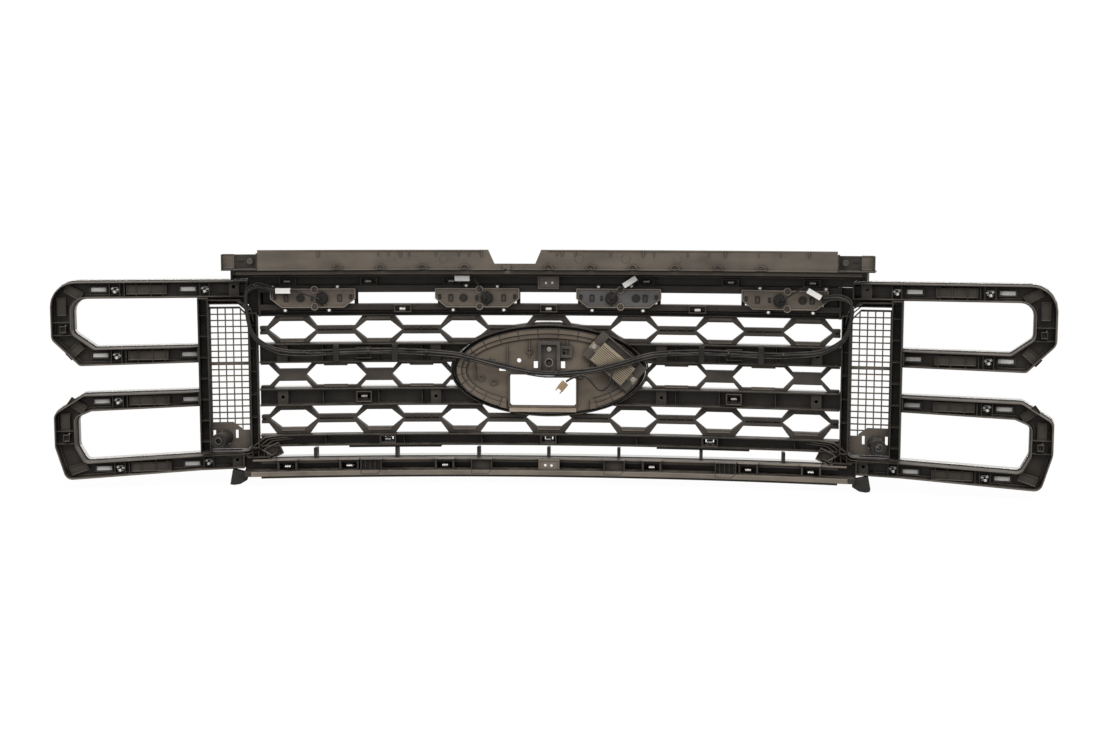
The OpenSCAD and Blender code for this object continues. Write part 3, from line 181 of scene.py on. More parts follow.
def build_edges():
    """Rounded edge normal, and a mask of the rubbed corners where it differs from the flat one; finishes lighten these
    corners for wear and painted highlight.
    """
    group, entry, leave = new_group(
        "rubbed_and_lit_edges",
        [("Vector", "NodeSocketVector", None), ("Radius", "NodeSocketFloat", 0.0012)],
        [("Mask", "NodeSocketFloat"), ("Normal", "NodeSocketVector")])
    bevel = add_node(group, "ShaderNodeBevel", samples=4)
    group.links.new(entry.outputs["Radius"], bevel.inputs["Radius"])
    geometry = add_node(group, "ShaderNodeNewGeometry")
    dot = add_node(group, "ShaderNodeVectorMath", operation="DOT_PRODUCT")
    group.links.new(bevel.outputs["Normal"], dot.inputs[0])
    group.links.new(geometry.outputs["Normal"], dot.inputs[1])
    turned = add_range(group, dot.outputs["Value"], 0.995, 0.75)
    chips = add_noise(group, entry.outputs["Vector"], 120.0, 3.0, 0.6)
    broken = add_range(group, chips, 0.35, 0.65, 0.35, 1.0)
    mask = add_math(group, "MULTIPLY", turned, broken, clamp=True)
    group.links.new(mask, leave.inputs["Mask"])
    group.links.new(bevel.outputs["Normal"], leave.inputs["Normal"])
    return group


def build_dust():
    """Dust that settles on what faces up, and a little in patches everywhere."""
    group, entry, leave = new_group(
        "settled_dust",
        [("Vector", "NodeSocketVector", None), ("Amount", "NodeSocketFloat", 0.3)],
        [("Mask", "NodeSocketFloat")])
    geometry = add_node(group, "ShaderNodeNewGeometry")
    split = add_node(group, "ShaderNodeSeparateXYZ")
    group.links.new(geometry.outputs["Normal"], split.inputs[0])
    facing = add_range(group, split.outputs["Z"], 0.15, 1.0, 0.12, 1.0)
    patches = add_range(group, add_noise(group, entry.outputs["Vector"], 35.0, 5.0, 0.65), 0.35, 0.75)
    both = add_math(group, "MULTIPLY", facing, patches)
    mask = add_math(group, "MULTIPLY", both, entry.outputs["Amount"], clamp=True)
    group.links.new(mask, leave.inputs["Mask"])
    return group


def build_creases():
    """A mask of the narrow places that light hardly reaches."""
    group, entry, leave = new_group(
        "shaded_creases",
        [("Vector", "NodeSocketVector", None), ("Depth", "NodeSocketFloat", 0.012)],
        [("Mask", "NodeSocketFloat")])
    nearby = add_node(group, "ShaderNodeAmbientOcclusion", samples=4)
    group.links.new(entry.outputs["Depth"], nearby.inputs["Distance"])
    closed = add_range(group, nearby.outputs["AO"], 0.86, 0.38)
    cloud = add_noise(group, entry.outputs["Vector"], 60.0, 2.0, 0.5)
    uneven = add_range(group, cloud, 0.3, 0.7, 0.85, 1.0)
    group.links.new(add_math(group, "MULTIPLY", closed, uneven, clamp=True), leave.inputs["Mask"])
    return group


GRAIN = build_grain()
EDGES = build_edges()
DUST = build_dust()
CREASES = build_creases()
DUST_COLOUR = (0.42, 0.37, 0.31, 1.0)


# --- finishes ---

def mix_colour(tree, factor, first, second):
    node = add_node(tree, "ShaderNodeMix", data_type="RGBA")
    tree.links.new(factor, node.inputs["Factor"])
    for label, value in (("A", first), ("B", second)):
        socket = next(s for s in node.inputs if s.name == label and s.type == "RGBA")
        if isinstance(value, tuple):
            socket.default_value = value
        else:
            tree.links.new(value, socket)
    return next(s for s in node.outputs if s.type == "RGBA")


def shade(colour, factor):
    return tuple(min(1.0, c * factor) for c in colour[:3]) + (1.0,)


SPECULAR = 0.35  # specular level of every moulded or plated finish
CREASE_SHADE = 0.07  # share of its colour that a finish keeps in a crease
CREASE_DEPTH = 0.014  # how near a wall has to be to shade another, in metres


def make_finish(name, colour, roughness, metallic=0.0, grain=900.0, bump=0.00006, edge_wear_and_highlight=1.8, edge=0.0011,
                dust=0.3, tone_span=0.35, roughness_span=0.12):
    """A finish with grain, slow tone, rounded edges lightened for rubbed wear and painted highlight, dust, and painted
    shade in creases.
    """
    material = bpy.data.materials.new(name)
    material.use_nodes = True
    tree = material.node_tree
    shader = tree.nodes["Principled BSDF"]
    shader.inputs["Metallic"].default_value = metallic
    shader.inputs["Specular IOR Level"].default_value = SPECULAR
    place = add_node(tree, "ShaderNodeTexCoord").outputs["Object"]
    groups = []
    for group in (GRAIN, EDGES, DUST, CREASES):
        node = add_node(tree, "ShaderNodeGroup")
        node.node_tree = group
        tree.links.new(place, node.inputs["Vector"])
        groups.append(node)
    grained, edges, dusty, creases = groups
    grained.inputs["Scale"].default_value = grain
    edges.inputs["Radius"].default_value = edge
    dusty.inputs["Amount"].default_value = dust
    creases.inputs["Depth"].default_value = CREASE_DEPTH
    tone = add_range(tree, grained.outputs["Tone"], 0.3, 0.7)
    base = mix_colour(tree, tone, shade(colour, 1 - tone_span), shade(colour, 1 + tone_span))
    # Painted shade: the colour drops to a small share of itself where the occlusion mask finds nearby walls.
    crease_shaded = mix_colour(tree, creases.outputs["Mask"], base, shade(colour, CREASE_SHADE))
    # Painted highlight: the rubbed-edge mask lightens the colour by the edge factor, part wear and part light catching
    # the edges.
    worn_and_edge_lit = mix_colour(tree, edges.outputs["Mask"], crease_shaded, shade(colour, edge_wear_and_highlight))
    dusted = mix_colour(tree, dusty.outputs["Mask"], worn_and_edge_lit, DUST_COLOUR)
    tree.links.new(dusted, shader.inputs["Base Color"])
    smooth, matt = roughness - roughness_span, roughness + roughness_span
    rough = add_range(tree, grained.outputs["Tone"], 0.3, 0.7, smooth, matt)
    tree.links.new(rough, shader.inputs["Roughness"])
    relief = add_node(tree, "ShaderNodeBump")
    relief.inputs["Strength"].default_value = 1.0
    relief.inputs["Distance"].default_value = bump
    tree.links.new(grained.outputs["Height"], relief.inputs["Height"])
    tree.links.new(edges.outputs["Normal"], relief.inputs["Normal"])
    tree.links.new(relief.outputs["Normal"], shader.inputs["Normal"])
    return material


def make_glass(name, colour, roughness):
    """Clear moulding with faint waviness."""
    material = bpy.data.materials.new(name)
    material.use_nodes = True
    tree = material.node_tree
    shader = tree.nodes["Principled BSDF"]
    shader.inputs["Base Color"].default_value = colour
    shader.inputs["Transmission Weight"].default_value = 1.0
    shader.inputs["IOR"].default_value = 1.49
    place = add_node(tree, "ShaderNodeTexCoord").outputs["Object"]
    wave = add_noise(tree, place, 300.0, 2.0, 0.5)
    tree.links.new(add_range(tree, wave, 0.3, 0.7, roughness, roughness * 2.5), shader.inputs["Roughness"])
    relief = add_node(tree, "ShaderNodeBump")
    relief.inputs["Distance"].default_value = 0.00003
    tree.links.new(wave, relief.inputs["Height"])
    tree.links.new(relief.outputs["Normal"], shader.inputs["Normal"])
    return material


# Edge factors well above one on the dark mouldings paint highlight on their edges.
BLACK = make_finish("black_moulding", (0.026, 0.0220, 0.0184), 0.40, edge_wear_and_highlight=3.4, edge=0.0016)
CARRIER = make_finish("carrier_moulding", (0.021, 0.0176, 0.0148), 0.40, edge_wear_and_highlight=3.6, edge=0.0016)
# An edge factor below one paints the mesh's edges darker than its faces.
MESH = make_finish("mesh_moulding", (0.046, 0.0385, 0.0320), 0.44, edge_wear_and_highlight=0.35, edge=0.0016)
# A lighter copy of the mesh moulding: painted highlight on the hexagon tabs.
MESH_PAINTED_HIGHLIGHT = make_finish("mesh_tabs_painted_highlight", (0.115, 0.095, 0.078), 0.48)
TRIM = make_finish("raised_trim", (0.042, 0.035, 0.029), 0.40, edge_wear_and_highlight=3.0)
# A lighter copy of the trim: painted light on lips, flanges and blocks.
TRIM_PAINTED_LIT = make_finish("painted_lit_trim", (0.170, 0.144, 0.120), 0.46)
# A lighter copy of the surround moulding: painted highlight along edge ridges.
EDGE_TRIM_PAINTED_HIGHLIGHT = make_finish("edge_trim_painted_highlight", (0.100, 0.085, 0.071), 0.42)
TOWER = make_finish("bracket_moulding", (0.062, 0.054, 0.048), 0.40, edge_wear_and_highlight=2.6)
PANEL = make_finish("sunk_panel", (0.060, 0.052, 0.045), 0.46)
# Near-white, painted light: the backdrop seen through slots, and glints on springs.
PAINTED_LIGHT_WHITE = make_finish("painted_light_white", (0.97, 0.96, 0.94), 0.42, bump=0.00002, edge_wear_and_highlight=1.0, dust=0.05,
                     tone_span=0.06)
SURROUND = make_finish("surround_moulding", (0.034, 0.0290, 0.0246), 0.40, edge_wear_and_highlight=3.0, edge=0.0016)
POCKET = make_finish("pocket_moulding", (0.130, 0.104, 0.080), 0.55)
# A lighter copy of the pocket moulding: painted light on the window lip.
POCKET_PAINTED_LIT = make_finish("pocket_lip_painted_lit", (0.34, 0.28, 0.22), 0.55)
DEFLECTOR = make_finish("deflector_moulding", (0.105, 0.088, 0.071), 0.50)
GRID = make_finish("grid_moulding", (0.085, 0.071, 0.058), 0.55)
LAMP = make_finish("lamp_moulding", (0.125, 0.104, 0.084), 0.50)
# A lighter copy of the lamp moulding: painted highlight on rims, beads and ears.
LAMP_EDGE_PAINTED_HIGHLIGHT = make_finish("lamp_edges_painted_highlight", (0.235, 0.198, 0.162), 0.46)
SCREW_DARK = make_finish("dark_screws", (0.10, 0.09, 0.08), 0.35, metallic=0.8, edge_wear_and_highlight=1.6)
LAMP_COOL = make_finish("lamp_moulding_cool", (0.112, 0.108, 0.112), 0.50)
PLATED = make_finish("plated_skin", (0.86, 0.85, 0.83), 0.10, metallic=1.0, bump=0.00001, edge_wear_and_highlight=1.0,
                     dust=0.08, tone_span=0.04, roughness_span=0.05)
LENS = make_glass("clear_lens", (0.93, 0.90, 0.84, 1.0), 0.08)
BULB = make_glass("bulb_glass", (0.97, 0.95, 0.90, 1.0), 0.02)
# Near-black: the real colour of sockets, clips and ties, and painted shade in slots, grooves and recesses.
SOCKET_AND_PAINTED_SHADE = make_finish("socket_moulding_and_painted_shade", (0.012, 0.011, 0.010), 0.38)
RUBBER = make_finish("soft_rubber", (0.012, 0.011, 0.010), 0.62, bump=0.00003, edge_wear_and_highlight=1.4)
STEEL = make_finish("zinc_steel", (0.55, 0.53, 0.50), 0.34, metallic=1.0, bump=0.00003, edge_wear_and_highlight=1.2, dust=0.15,
                    tone_span=0.15)
# Bright steel with a white diffuse share: partly real steel, partly painted glint.
SPRING_WITH_PAINTED_GLINT = make_finish("spring_steel", (0.90, 0.88, 0.84), 0.34, metallic=0.5, bump=0.00002, edge_wear_and_highlight=1.1,
                     dust=0.05, tone_span=0.12)
MODULE = make_finish("ribbed_module", (0.36, 0.30, 0.22), 0.48, edge_wear_and_highlight=1.2)
WHITE = make_finish("white_moulding", (0.93, 0.92, 0.89), 0.42, edge_wear_and_highlight=1.0, dust=0.04, tone_span=0.03)
TAN = make_finish("tan_moulding", (0.38, 0.27, 0.16), 0.45, edge_wear_and_highlight=1.2)
SLEEVE = make_finish("taped_sleeve", (0.011, 0.010, 0.009), 0.50, grain=500.0, bump=0.00012, edge_wear_and_highlight=1.3)
VENT = make_finish("vent_membrane", (0.018, 0.016, 0.014), 0.60)

FINISH_OF = {
    "carrier_frame": CARRIER, "mesh_insert": MESH, "upper_bar_channel": BLACK, "lower_bar_channel": BLACK,
    "valance": BLACK, "corner_fins": RUBBER, "header_panel": BLACK, "air_deflector": DEFLECTOR,
    "lamp_vents": VENT, "lamp_screws": SCREW_DARK, "pocket_dish": POCKET, "badge_backplate": POCKET,
    "badge_bezel": PLATED,
    "camera_bracket": TOWER, "bracket_screws": STEEL, "driver_module": MODULE, "module_tray": TOWER,
    "module_screws": STEEL, "harness_trunk": SLEEVE, "lamp_leads": SLEEVE, "lamp_connectors": WHITE,
    "plug_lead": SLEEVE, "main_plug": TAN, "harness_clips": SOCKET_AND_PAINTED_SHADE, "spring_clips": SPRING_WITH_PAINTED_GLINT,
    "standoff_bushes": RUBBER, "standoff_sleeves": SCREW_DARK, "deflector_screws": SCREW_DARK,
    "lamp_housing_3": LAMP_COOL,
}
FINISH_BY_START = [
    ("surround_skin", PLATED), ("surround", SURROUND), ("side_grid", GRID), ("lamp_housing", LAMP),
    ("lamp_lens", LENS), ("bulb_socket", SOCKET_AND_PAINTED_SHADE), ("bulb_", BULB), ("deflector_end", BLACK),
    ("upper_bar_skin", PLATED), ("lower_bar_skin", PLATED), ("valance_skin", PLATED),
]


def finish_for(name):
    if name in FINISH_OF:
        return FINISH_OF[name]
    return next(finish for start, finish in FINISH_BY_START if name.startswith(start))


def dress(obj, finish):
    obj.data.materials.clear()
    obj.data.materials.append(finish)


# --- modelling helpers ---

PLAN_RADIUS = 2860.0
KNEE_X = 550.0
END_SWEEP = math.asin(KNEE_X / PLAN_RADIUS)
KNEE_Y = PLAN_RADIUS * (1 - math.cos(END_SWEEP))


def flat_place(x, z, behind):
    """Where a piece sits on a face square to the driving direction."""
    return Matrix.Translation(Vector((x, -behind, z)) * MM)


def sag(x):
    """How far the curved centre section falls behind the origin at x, in millimetres."""
    return PLAN_RADIUS - math.sqrt(PLAN_RADIUS * PLAN_RADIUS - x * x)


def arc_place(x, z, behind, turn=0.0):
    """Where a piece sits on the curved centre section, with its own rear towards -Y."""
    swing = Matrix.Rotation(-math.asin(x / PLAN_RADIUS), 4, "Z")
    place = Matrix.Translation(Vector((x, -sag(x) - behind, z)) * MM)
    return place @ swing @ Matrix.Rotation(math.radians(turn), 4, "Y")


def end_place(side, u, z, behind, turn=0.0):
    """Where a piece sits on the left (-1) or right (1) end section, u along it from the knee."""
    swing = Matrix.Rotation(-side * END_SWEEP, 4, "Z")
    along = swing @ Vector((side * u, -behind, 0))
    knee = Vector((side * KNEE_X, -KNEE_Y, z))
    return Matrix.Translation((knee + along) * MM) @ swing @ Matrix.Rotation(math.radians(turn), 4, "Y")


def put_tools_down():
    if bpy.context.object and bpy.context.object.mode != "OBJECT":
        bpy.ops.object.mode_set(mode="OBJECT")
    bpy.ops.object.select_all(action="DESELECT")


def settle(piece, size):
    piece.scale = Vector(size)
    bpy.ops.object.transform_apply(location=True, rotation=True, scale=True)


def start_block(name, size, middle=(0, 0, 0)):
    put_tools_down()
    bpy.ops.mesh.primitive_cube_add(size=1, location=Vector(middle) * MM)
    block = bpy.context.object
    block.name = name
    settle(block, Vector(size) * MM)
    return block


def start_disc(name, radius, thickness, sides=20, middle=(0, 0, 0)):
    """A flat round slug with its axis along Y."""
    put_tools_down()
    bpy.ops.mesh.primitive_cylinder_add(vertices=sides, radius=radius * MM, depth=thickness * MM,
                                        location=Vector(middle) * MM, rotation=(math.pi / 2, 0, 0))
    disc = bpy.context.object
    disc.name = name
    settle(disc, (1, 1, 1))
    return disc


def pick_faces(piece, test):
    """Leaves the piece in edit mode with only the faces that pass the test selected."""
    if piece.mode != "OBJECT":
        bpy.ops.object.mode_set(mode="OBJECT")
    bpy.context.tool_settings.mesh_select_mode = (False, False, True)
    for item in list(piece.data.vertices) + list(piece.data.edges):
        item.select = False
    for face in piece.data.polygons:
        face.select = test(face)
    bpy.ops.object.mode_set(mode="EDIT")


def faces_rear(face):
    return face.normal.y < -0.9


def sink_rear(piece, rim, depth, inner=None):
    """Insets the rear face by a rim and presses the middle in, where inner is its own finish; a near-black inner paints
    shade in the recess.
    """
    pick_faces(piece, faces_rear)
    bpy.ops.mesh.inset(thickness=rim * MM, depth=0)
    bpy.ops.mesh.extrude_region_move(TRANSFORM_OT_translate={"value": (0, depth * MM, 0)})
    bpy.ops.object.mode_set(mode="OBJECT")
    if inner:
        for face in piece.data.polygons:
            face.material_index = 1 if face.select else 0


def open_middle(piece, rim):
    """Cuts the middle out of a flat piece and leaves a frame of the given width."""
    pick_faces(piece, lambda face: abs(face.normal.y) > 0.9)
    bpy.ops.mesh.inset(thickness=rim * MM, depth=0)
    bpy.ops.mesh.delete(type="FACE")
    bpy.ops.mesh.select_mode(type="EDGE")
    bpy.ops.mesh.select_non_manifold()
    bpy.ops.mesh.bridge_edge_loops()
    bpy.ops.object.mode_set(mode="OBJECT")


def cut_corner(piece, place, normal):
    """Slices off what lies beyond a plane and closes the cut."""
    bpy.ops.object.mode_set(mode="EDIT")
    bpy.ops.mesh.select_all(action="SELECT")
    bpy.ops.mesh.bisect(plane_co=Vector(place) * MM, plane_no=normal, use_fill=True, clear_outer=True)
    bpy.ops.object.mode_set(mode="OBJECT")


def tidy_normals(piece):
    bpy.ops.object.mode_set(mode="EDIT")
    bpy.ops.mesh.select_all(action="SELECT")
    bpy.ops.mesh.remove_doubles(threshold=0.00001)
    bpy.ops.mesh.normals_make_consistent(inside=False)
    bpy.ops.object.mode_set(mode="OBJECT")


def soften(piece, width, segments=2):
    put_tools_down()
    piece.select_set(True)
    bpy.context.view_layer.objects.active = piece
    edge = piece.modifiers.new("edge", "BEVEL")
    edge.width = width * MM
    edge.segments = segments
    edge.limit_method = "ANGLE"
    edge.angle_limit = math.radians(35)
    bpy.ops.object.modifier_apply(modifier=edge.name)


def make_frame(piece, rim, rounding, segments=2):
    """Turns a block or disc into a softened frame or ring."""
    open_middle(piece, rim)
    tidy_normals(piece)
    soften(piece, rounding, segments)


def claim(piece, finish):
    dress(piece, finish)
    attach(piece, "grille")


def copy_to(master, places, finish, inner=None):
    """Replaces a master by one piece that holds a copy of it at every place."""
    name = master.name
    master.name = name + "_master"
    dress(master, finish)
    if inner:
        master.data.materials.append(inner)
    copies = []
    for place in places:
        copy = master.copy()
        copy.data = master.data.copy()
        bpy.context.scene.collection.objects.link(copy)
        copy.matrix_world = place
        copies.append(copy)
    put_tools_down()
    for copy in copies:
        copy.select_set(True)
    bpy.context.view_layer.objects.active = copies[0]
    if len(copies) > 1:
        bpy.ops.object.join()
    piece = bpy.context.object
    piece.name = name
    bpy.ops.object.transform_apply(location=True, rotation=True, scale=True)
    bpy.data.objects.remove(master)
    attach(piece, "grille")


def long_strip(name, x, z, depth, finish):
    """A moulded strip that follows the plan curve; x, z and depth are [from, to]."""
    put_tools_down()
    width = x[1] - x[0]
    bpy.ops.mesh.primitive_grid_add(
        x_subdivisions=max(2, int(width / 25)), y_subdivisions=1, size=1, rotation=(math.pi / 2, 0, 0),
        location=Vector(((x[0] + x[1]) / 2, -depth[0], (z[0] + z[1]) / 2)) * MM)
    strip = bpy.context.object
    strip.name = name
    settle(strip, Vector((width, z[1] - z[0], 1000)) * MM)
    bpy.ops.object.mode_set(mode="EDIT")
    bpy.ops.mesh.select_all(action="SELECT")
    bpy.ops.mesh.extrude_region_move(TRANSFORM_OT_translate={"value": (0, (depth[0] - depth[1]) * MM, 0)})
    bpy.ops.object.mode_set(mode="OBJECT")
    tidy_normals(strip)
    for vertex in strip.data.vertices:
        vertex.co.y -= sag(vertex.co.x / MM) * MM
    soften(strip, 0.5, 1)
    claim(strip, finish)


def folded_strip(name, width, path, thickness):
    """A strip of sheet across X, folded along a path of (y, z) points."""
    put_tools_down()
    first, second = Vector(path[0]), Vector(path[1])
    run = second - first
    bpy.ops.mesh.primitive_plane_add(
        size=1, location=Vector((0, (first.x + second.x) / 2, (first.y + second.y) / 2)) * MM,
        rotation=(math.atan2(run.y, run.x), 0, 0))
    strip = bpy.context.object
    strip.name = name
    settle(strip, Vector((width, run.length, 1000)) * MM)
    corner = Vector((second.x, second.y)) * MM
    bpy.context.tool_settings.mesh_select_mode = (False, True, False)
    for vertex in strip.data.vertices:
        vertex.select = (Vector((vertex.co.y, vertex.co.z)) - corner).length < 0.00001
    for edge in strip.data.edges:
        edge.select = all(strip.data.vertices[k].select for k in edge.vertices)
    for face in strip.data.polygons:
        face.select = False
    bpy.ops.object.mode_set(mode="EDIT")
    for here, there in zip(path[1:], path[2:]):
        step = Vector((0, there[0] - here[0], there[1] - here[1])) * MM
        bpy.ops.mesh.extrude_region_move(TRANSFORM_OT_translate={"value": step})
    bpy.ops.object.mode_set(mode="OBJECT")
    tidy_normals(strip)
    sheet = strip.modifiers.new("sheet", "SOLIDIFY")
    sheet.thickness = thickness * MM
    sheet.offset = 0
    bpy.ops.object.modifier_apply(modifier=sheet.name)
    return strip


# --- clip pockets and spring clips ---

BAR_MIDS = (34.75, -49.5)
BAR_CLIP_X = 352
BOTTOM_CLIP_X = (-308, 0, 308)
BOTTOM_RAIL_MID = -132.5
VALANCE_CLIP_X = (-495, -379.5, -198, 198, 379.5, 495)
RAIL_CLIP_X = (-276, 1, 282)
HEADER_CLIP_X = (-493, -342, -185, 186, 344, 494)
SPRING_PATH = [(3.0, -2.6), (0.0, -3.2), (-2.5, -1.6), (-3.6, 0.2), (-2.5, 1.8), (0.0, 3.2), (3.0, 2.6)]


def pocket_frame(name, width, height, depth, rim):
    frame_piece = start_block(name, (width, depth, height), (0, -depth / 2, 0))
    make_frame(frame_piece, rim, 0.6)
    return frame_piece


def make_bar_pockets():
    places = [arc_place(side * BAR_CLIP_X, z, 21) for side in (-1, 1) for z in BAR_MIDS]
    copy_to(pocket_frame("bar_pocket_frames", 30, 22, 8, 2.6), places, TRIM)
    places = [arc_place(x, BOTTOM_RAIL_MID, 21) for x in BOTTOM_CLIP_X]
    copy_to(pocket_frame("bottom_pocket_frames", 31, 17, 8.5, 2.2), places, TRIM)
    places = [arc_place(x, -180, 36.6) for x in VALANCE_CLIP_X]
    copy_to(pocket_frame("valance_pocket_frames", 37, 24, 4, 3.6), places, TRIM)
    places = [arc_place(x, 119.5, 28.6) for x in RAIL_CLIP_X]
    copy_to(pocket_frame("rail_pocket_frames", 33, 15, 6, 2.4), places, TRIM)
    places = [arc_place(x, 171, 11) for x in HEADER_CLIP_X]
    copy_to(pocket_frame("header_pocket_frames", 32, 14, 14, 2.0), places, TRIM)


def make_spring_strips():
    """Folded strips that stand in the clip pockets, in steel whitened to paint part of their glint."""
    bent = folded_strip("folded_springs", 11, SPRING_PATH, 0.7)
    places = [arc_place(side * BAR_CLIP_X, z, 19) for side in (-1, 1) for z in BAR_MIDS]
    places += [arc_place(x, BOTTOM_RAIL_MID, 20) for x in BOTTOM_CLIP_X]
    places += [arc_place(x, -182, 32) for x in VALANCE_CLIP_X]
    places += [arc_place(x, 118.5, 32.5) for x in RAIL_CLIP_X]
    places += [arc_place(x, 170.5, 20) for x in HEADER_CLIP_X]
    copy_to(bent, places, SPRING_WITH_PAINTED_GLINT)


# --- header and air deflector ---

DEFLECTOR_REAR = 88.0
FOOT_Z = 194.8
FOOT_X = [k * 78 + 5 for k in range(-5, 6)]
NOTCH = (-118, -2)
EJECTOR_X = (-372, -274, -190, 62, 148, 243, 345, 450, -470)
SHORT_RIB_X = (-311, -292, -254, -205, -162, -143, 20, 55, 120, 200, 262, 300, 390, 430)


def clear_of_notch(x):
    return x < NOTCH[0] or x > NOTCH[1]


def make_header_trim():
    # The lip and the centre block's rim take the lighter trim: painted light.
    long_strip("header_lip", (-576, 576), (185.6, 192), (60.4, 62.4), TRIM_PAINTED_LIT)
    long_strip("header_step", (-548, 548), (180.6, 183), (44, 47), TRIM)
    block = start_block("header_centre_block", (40, 8, 24), (0, -4, 0))
    sink_rear(block, 2.4, 2.0, TRIM)
    soften(block, 0.7)
    copy_to(block, [arc_place(0.5, 168.6, 27)], TRIM_PAINTED_LIT, TRIM)
    mark = start_disc("header_centre_marks", 2.6, 1.4, 16)
    soften(mark, 0.4)
    copy_to(mark, [arc_place(-4, 168, 33.4), arc_place(8, 168.5, 33.4, 20)], WHITE)


def make_deflector_details():
    # Each foot's sunk middle is near-black: painted shade in its recess.
    arch = start_disc("deflector_feet", 8.2, 5, 28, (0, -2.5, 0))
    cut_corner(arch, (0, 0, -1), (0, 0, -1))
    sink_rear(arch, 1.3, 3.6, SOCKET_AND_PAINTED_SHADE)
    soften(arch, 0.3, 1)
    places = [arc_place(x, FOOT_Z + 2.6, DEFLECTOR_REAR + 3) for x in FOOT_X if clear_of_notch(x)]
    copy_to(arch, places, DEFLECTOR, SOCKET_AND_PAINTED_SHADE)
    ejector = start_disc("deflector_ejector_marks", 8.5, 0.7, 32, (0, -0.35, 0))
    sink_rear(ejector, 1.0, 0.4, DEFLECTOR)
    places = [arc_place(x, 217, DEFLECTOR_REAR - 0.1) for x in EJECTOR_X]
    copy_to(ejector, places, DEFLECTOR, DEFLECTOR)
    rib = start_block("deflector_short_ribs", (1.3, 2.2, 11), (0, -1.1, 0))
    cut_corner(rib, (0, -1.2, -5.5), (0, -0.5, -1))
    soften(rib, 0.3, 1)
    copy_to(rib, [arc_place(x, 226, DEFLECTOR_REAR - 0.1) for x in SHORT_RIB_X], DEFLECTOR)
    bead_depth = (DEFLECTOR_REAR - 1, DEFLECTOR_REAR + 1.6)
    for name, x in (("deflector_bead", (-529, -122)), ("deflector_bead_right", (4, 529))):
        long_strip(name, x, (229.6, 232.2), bead_depth, DEFLECTOR)
    outer = start_block("deflector_end_caps", (22, 3, 27), (0, -1.5, 0))
    sink_rear(outer, 2.2, 1.0, DEFLECTOR)
    soften(outer, 0.6)
    places = [end_place(side, 50, 212, 78.6) for side in (-1, 1)]
    copy_to(outer, places, DEFLECTOR, DEFLECTOR)
    # Near-black blocks: painted shade in the end slots.
    slot_piece = start_block("deflector_end_slots", (13, 1.6, 6), (0, -0.8, 0))
    soften(slot_piece, 0.7)
    copy_to(slot_piece, [arc_place(side * 563, 213, 78.8) for side in (-1, 1)], SOCKET_AND_PAINTED_SHADE)


# --- marker lamps ---

LAMP_X = (-443, -134, 134, 443)
LAMP_Z = 140.0
LAMP_W = 160
LAMP_H = 37
LAMP_BODY = 12  # depth of a housing
RAIL_REAR = 28.3  # rear of the rail, behind the plan curve
LAMP_TILT_ROOM = LAMP_W ** 2 / (8 * PLAN_RADIUS) + 0.7
LAMP_BACK = RAIL_REAR + LAMP_TILT_ROOM + LAMP_BODY
LAMP_SCREW_X = (3, 4, 4, 5)
SOCKET_X = (17, 18, -13, -9)
PIN_SPOTS = (
    ((-75, 21), (46, 21), (-52, -23), (30, -23)),
    ((-21, 23), (38, 21), (-46, -23), (50, -23)),
    ((-38, 21), (24, 23), (-50, -23), (46, -23)),
    ((-46, 21), (75, 21), (-30, -23), (52, -23)),
)


def lamp_place(index, dx, dz, behind, turn=0.0):
    """A place in a lamp's own flat frame, behind its rear face."""
    angle = math.asin(LAMP_X[index] / PLAN_RADIUS)
    swing = Matrix.Rotation(-angle, 4, "Z")
    lamp = Vector((LAMP_X[index], -sag(LAMP_X[index]) - LAMP_BACK + LAMP_BODY, LAMP_Z))
    offset = swing @ Vector((dx, -LAMP_BODY - behind, dz))
    return Matrix.Translation((lamp + offset) * MM) @ swing @ Matrix.Rotation(math.radians(turn), 4, "Y")


def lamp_plate(name, width, height, cut, thickness):
    plate = start_block(name, (width, thickness, height), (0, -thickness / 2, 0))
    for side in (-1, 1):
        cut_corner(plate, (side * (width / 2 - cut), 0, -height / 2), (side * 0.62, 0, -0.785))
    return plate


